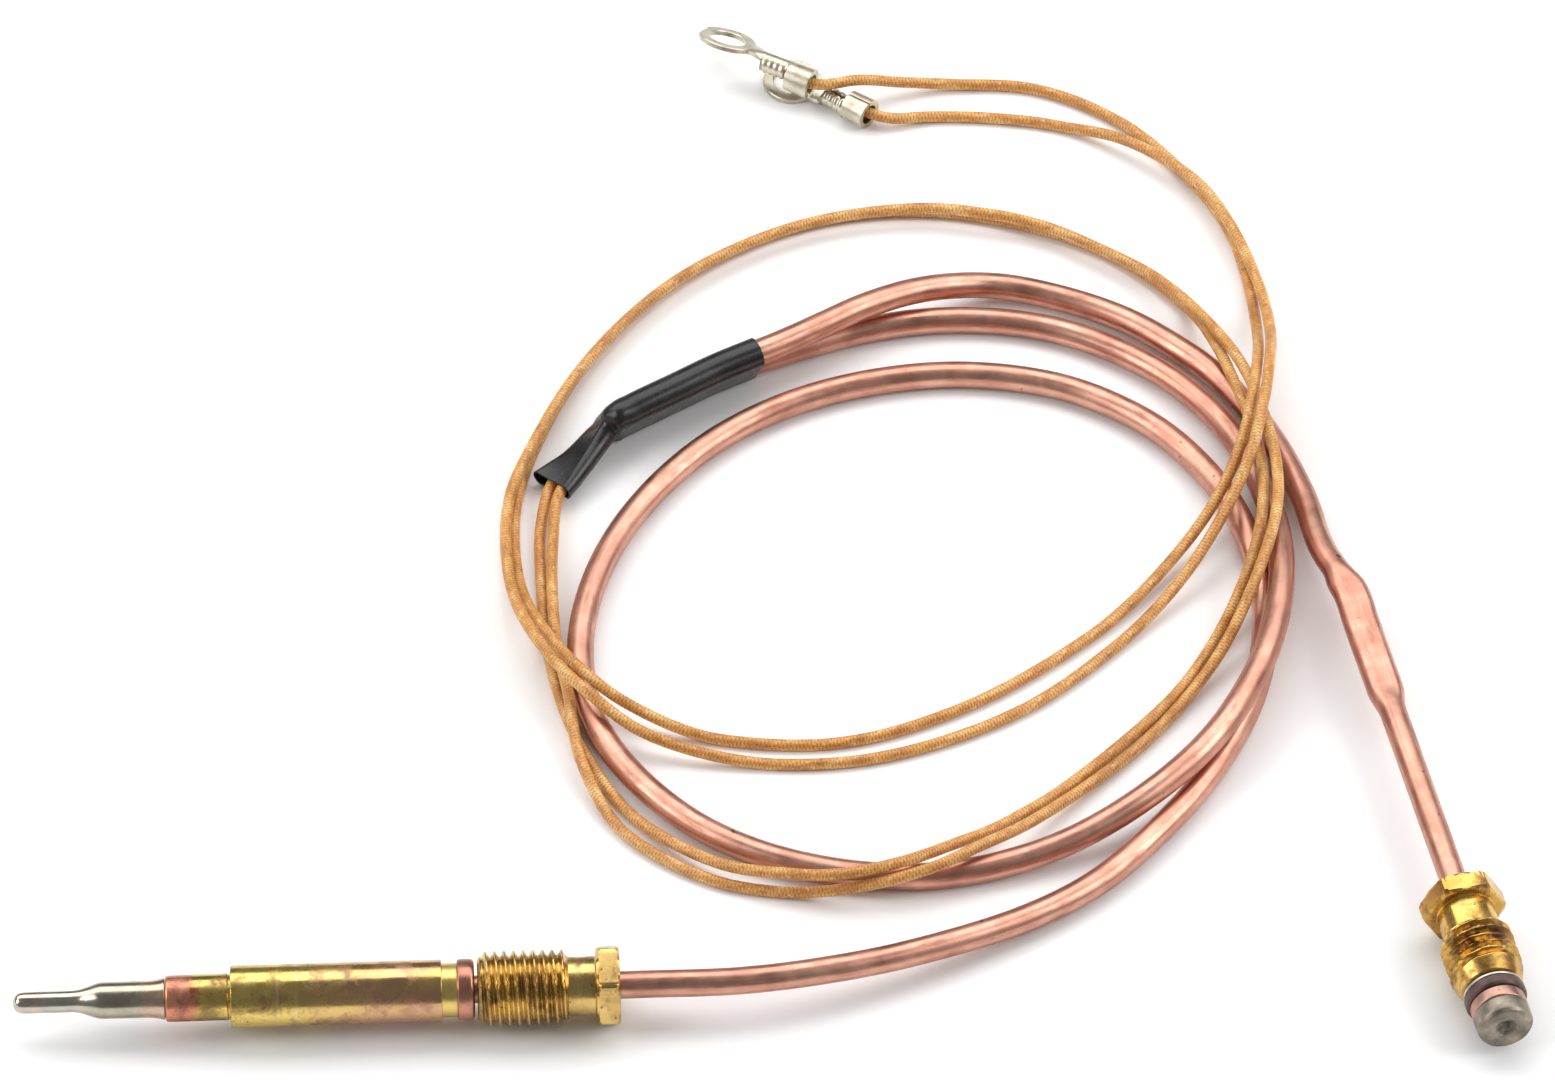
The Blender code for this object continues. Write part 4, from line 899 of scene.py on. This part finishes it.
def build_sleeve(material):
    """Shrunk sleeve: a wide run over both tubes, then pinched, twisted and flat at its mouth."""
    around = 64
    step = 0.28
    full_gap, waist_depth, waist_width = 1.7, 0.16, 0.35
    crease_depth, crease_place, crease_length = 0.10, 18.6, 1.1
    table = np.array([(*c, roll, gap, r) for c, roll, gap, r in SLEEVE_STATIONS])
    fine = evenly(catmull_rom(table, 16), step)
    centres = fine[:, :3]
    ahead = np.gradient(centres, axis=0)
    ahead /= np.linalg.norm(ahead, axis=1)[:, None]
    side = -np.cross(ahead, UP)
    side /= np.linalg.norm(side, axis=1)[:, None]
    up = np.cross(ahead, side)
    up *= np.sign(up[:, 2])[:, None]
    angles = (np.arange(around) + 0.5) * math.tau / around
    along = np.arange(len(fine)) * step

    def skin(wall):
        points = np.zeros((len(fine), around, 3))
        grain = np.zeros_like(points)
        for i, (roll, gap, radius) in enumerate(fine[:, 3:]):
            turn = math.radians(roll)
            long_way = side[i] * math.cos(turn) + up[i] * math.sin(turn)
            short_way = up[i] * math.cos(turn) - side[i] * math.sin(turn)
            # the film bridges the two tubes with a shallow waist
            waist = waist_depth * np.exp(-(np.cos(angles) / waist_width) ** 2)
            waist = waist * min(gap / full_gap, 1.0)
            crease = crease_depth * math.exp(-((along[i] - crease_place) / crease_length) ** 2)
            buckle = crease * np.sin(3.0 * angles + along[i] * 2.2)
            r = radius - wall - waist + buckle
            shift = np.sign(np.cos(angles)) * gap
            a = shift + r * np.cos(angles)
            b = r * np.sin(angles)
            points[i] = centres[i] + a[:, None] * long_way + b[:, None] * short_way
            grain[i] = np.stack((np.full(around, along[i]), a, b), axis=-1)
        return points, grain

    outer, outer_grain = skin(0.0)
    inner, inner_grain = skin(SLEEVE_WALL)
    points = np.concatenate((outer, inner[::-1]))
    grain = np.concatenate((outer_grain, inner_grain[::-1]))
    points[..., 2] = np.maximum(points[..., 2], 0.02)
    sleeve = grid_piece("heat_shrunk_sleeve", points, grain, material, wrap_rows=True, sharp=60.0)
    fixed(sleeve, "sleeve_black", "splice_sleeve")


# ---------------- terminals

def terminal_axes(base, angles):
    """Axes on the ring's underside; x runs towards the wire."""
    heading, pitch, roll = (math.radians(a) for a in angles)
    ahead = np.array((math.cos(heading) * math.cos(pitch), math.sin(heading) * math.cos(pitch),
                      math.sin(pitch)))
    side = unit(np.cross(UP, ahead))
    level = np.cross(ahead, side)
    return Axes(base, ahead, level * math.cos(roll) + side * math.sin(roll))


def ring_shell(name, axes, material):
    """The flat ring with its hole and cut end."""
    columns = 120
    angles = np.arange(columns) * math.tau / columns
    cut = np.where(np.cos(angles) < -0.5, RING_CUT / np.maximum(-np.cos(angles), 0.5), RING_R)
    outer = np.minimum(RING_R, cut)
    soft = 0.08
    section = ((0.0, soft, 0.0), (0.0, 0.0, soft), (0.0, 0.0, SHEET - soft), (0.0, soft, SHEET),
               (1.0, -soft, SHEET), (1.0, 0.0, SHEET - soft), (1.0, 0.0, soft), (1.0, -soft, 0.0))
    points = np.zeros((columns, len(section), 3))
    for k, (part, off, z) in enumerate(section):
        radius = RING_HOLE_R + (outer - RING_HOLE_R) * part + off
        points[:, k, 0] = radius * np.cos(angles)
        points[:, k, 1] = radius * np.sin(angles)
        points[:, k, 2] = z
    return grid_piece(name, axes.world(points), points, material, wrap_rows=True, sharp=30.0)


def curled_sheet(name, axes, material, lap):
    """The neck and both barrels: one strip whose width and curl change along it."""
    rib_pitch = 0.72
    across = 36
    strand_mid = STRAND_CRIMP_R - SHEET / 2.0
    wire_mid = WIRE_CRIMP_R - SHEET / 2.0
    # each station is a place along the strip, its half width and its curl, 1 / radius
    stations = [(2.6, 1.35, 0.02), (3.1, 1.2, 0.05), (3.7, 1.1, 0.15), (4.3, 1.1, 0.5),
                (4.75, 1.15, 0.9), (4.85, 2.0, 1.0)]
    for x in np.arange(STRAND_CRIMP[0], STRAND_CRIMP[1] + 0.01, 0.1):
        rib = 0.5 + 0.5 * math.cos((x - STRAND_CRIMP[0]) * math.tau / rib_pitch)
        radius = strand_mid * (0.97 - 0.07 * rib)
        stations.append((x, math.pi * radius * 0.95, 1.0 / radius))
    stations += [(7.75, 1.3, 0.85), (7.9, 1.25, 0.7), (8.05, 1.5, 0.65)]
    for x in np.arange(WIRE_CRIMP[0], WIRE_CRIMP[1] + 0.01, 0.16):
        flare = 0.93 + 0.07 * ((x - WIRE_CRIMP[0]) / (WIRE_CRIMP[1] - WIRE_CRIMP[0]))
        radius = wire_mid * flare
        stations.append((x, math.pi * radius * lap, 1.0 / radius))
    rows = []
    for x, half, curl in stations:
        ring = []
        u = np.linspace(-half, half, across)
        for height, order in ((-SHEET / 2.0, u), (SHEET / 2.0, u[::-1])):
            for v in order:
                eased = height * (1.0 - 0.25 * (abs(v) / half > 0.97))
                reach = 1.0 / curl - eased
                ring.append((x, reach * math.sin(curl * v),
                             SHEET / 2.0 + 1.0 / curl - reach * math.cos(curl * v)))
        rows.append(ring)
    points = np.array(rows)
    return grid_piece(name, axes.world(points), points, material, caps=True, sharp=40.0)


def build_terminal(number, spec, lap, material):
    axes = terminal_axes(*spec[:2])
    ring = ring_shell(f"ring_{number}", axes, material)
    barrel = curled_sheet(f"barrel_{number}", axes, material, lap)
    piece = join_pieces(f"crimped_ring_{number}", [ring, barrel])
    return fixed(piece, "tinned_brass", f"ring_terminal_{number}")


# ---------------- wires

def build_wire(number, route, spec, material):
    axes = terminal_axes(*spec[:2])
    mouth = axes.world((WIRE_CRIMP[1] + 0.2, *spec[2]))
    stop = axes.world((WIRE_STOP, 0.0, WIRE_CRIMP_R))
    stations = resting_route(list(route) + [mouth, stop], WIRE_STEP, WIRE_R)
    wire = swept_tube(f"fibre_wire_{number}", stations, WIRE_R, material, WIRE_SIDES)
    fixed(wire, "wire_fibre", f"lead_wire_{number}")


# ---------------- stage

def build_camera():
    data = bpy.data.cameras.new("camera")
    data.sensor_width = SENSOR_WIDTH
    data.lens = CAMERA_LENS
    data.clip_end = CLIP_END
    camera = bpy.data.objects.new("camera", data)
    bpy.context.scene.collection.objects.link(camera)
    tilt = math.radians(CAMERA_ELEVATION)
    target = Vector(CAMERA_TARGET)
    back = Vector((0.0, -math.cos(tilt), math.sin(tilt)))
    camera.location = target + back * CAMERA_DISTANCE
    camera.rotation_mode = "QUATERNION"
    camera.rotation_quaternion = (-back).to_track_quat("-Z", "Y")
    bpy.context.scene.camera = camera


def area_light(name, place, size, power):
    """A softbox that faces the origin."""
    data = bpy.data.lights.new(name, "AREA")
    data.shape = "RECTANGLE"
    data.size, data.size_y = size
    data.energy = power
    light = bpy.data.objects.new(name, data)
    bpy.context.scene.collection.objects.link(light)
    light.location = place
    light.rotation_mode = "QUATERNION"
    light.rotation_quaternion = (-Vector(place)).to_track_quat("-Z", "Y")


def build_floor():
    side = FLOOR_HALF_SIDE
    mesh = bpy.data.meshes.new("floor")
    outline = [(-side, -side, 0.0), (side, -side, 0.0), (side, side, 0.0), (-side, side, 0.0)]
    mesh.from_pydata(outline, [], [(0, 1, 2, 3)])
    floor = bpy.data.objects.new("floor", mesh)
    bpy.context.scene.collection.objects.link(floor)
    g = Graph("pale_floor", grain=False)
    colour = g.ramp(g.noise(3.0, 2.0), (0.3, (0.93, 0.93, 0.93)), (0.7, (0.96, 0.96, 0.96)))
    mesh.materials.append(g.finish(colour, 0.9, 0.0, None, Specular_IOR_Level=0.1))


def build_studio():
    world = bpy.data.worlds.new("studio")
    world.use_nodes = True
    back = world.node_tree.nodes["Background"]
    back.inputs["Color"].default_value = WORLD_COLOUR
    back.inputs["Strength"].default_value = WORLD_STRENGTH
    bpy.context.scene.world = world
    for softbox in SOFTBOXES:
        area_light(*softbox)
    view = bpy.context.scene.view_settings
    view.view_transform = "Standard"
    view.exposure = 0.0


def dress_hidden_nodes(nodes):
    """Inner pieces keep their CAD shape and get their own material."""
    inner = (
        ("thermo_core", "drawn_constantan", (0.55, 0.51, 0.45), (0.38, 0.35, 0.30), 1.0, 0.4),
        ("ceramic_insulator", "bare_ceramic", (0.88, 0.85, 0.78), (0.76, 0.72, 0.63), 0.0, 0.7),
        ("core_joint", "joint_solder", (0.55, 0.54, 0.50), (0.36, 0.35, 0.33), 1.0, 0.45),
        ("lead_conductor", "bare_conductor", (0.80, 0.42, 0.29), (0.58, 0.26, 0.17), 1.0, 0.35),
        ("lead_insulation", "woven_liner", (0.84, 0.80, 0.68), (0.66, 0.61, 0.50), 0.0, 0.8),
        ("splice_crimp", "crimp_tin", (0.74, 0.71, 0.64), (0.50, 0.47, 0.40), 1.0, 0.35),
        ("tube_bond", "bond_solder", (0.60, 0.58, 0.54), (0.40, 0.38, 0.35), 1.0, 0.45),
        ("wire_end", "bare_strand", (0.82, 0.47, 0.33), (0.60, 0.29, 0.19), 1.0, 0.35),
    )
    for start, name, light, dark, metallic, rough in inner:
        material = plain_grain(name, light, dark, metallic, rough)
        for node_name, node in nodes.items():
            if node_name.startswith(start):
                node.data.materials.clear()
                node.data.materials.append(material)


def build_pieces(nodes):
    """Every piece of the thermocouple, its cords first."""
    tin = tin_plate()
    covering = wire_covering()
    wires = ((1, WIRE_1_ROUTE, TERMINAL_1, SLEEVE_EXIT_1, LAP_1),
             (2, WIRE_2_ROUTE, TERMINAL_2, SLEEVE_EXIT_2, LAP_2))
    for number, route, spec, leaves_at, lap in wires:
        terminal = build_terminal(number, spec, lap, tin)
        build_wire(number, route, spec, covering)

    copper = copper_tube()
    probe_ahead = np.array((-math.cos(PROBE_HEADING), -math.sin(PROBE_HEADING), 0.0))
    probe = Axes(PROBE_REAR_FACE + probe_ahead * PROBE_NUT_END, UP, probe_ahead)
    outward = CONTACT_FACE - LAND_END
    contact = Axes(CONTACT_FACE, np.cross(UP, outward), outward)
    metals = end_metals(tin)
    build_probe(probe, metals)
    build_contact_end(contact, metals)
    build_probe_lead(probe, copper)
    build_contact_lead(contact, copper)
    build_sleeve(shrunk_sleeve())
    dress_hidden_nodes(nodes)


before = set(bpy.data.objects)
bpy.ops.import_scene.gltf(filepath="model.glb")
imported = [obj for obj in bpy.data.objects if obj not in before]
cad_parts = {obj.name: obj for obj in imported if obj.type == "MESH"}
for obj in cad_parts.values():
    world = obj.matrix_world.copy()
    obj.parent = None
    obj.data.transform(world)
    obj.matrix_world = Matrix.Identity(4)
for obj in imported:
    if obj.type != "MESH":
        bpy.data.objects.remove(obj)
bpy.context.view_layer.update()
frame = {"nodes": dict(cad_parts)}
build_camera()
build_pieces(frame["nodes"])
build_floor()
build_studio()
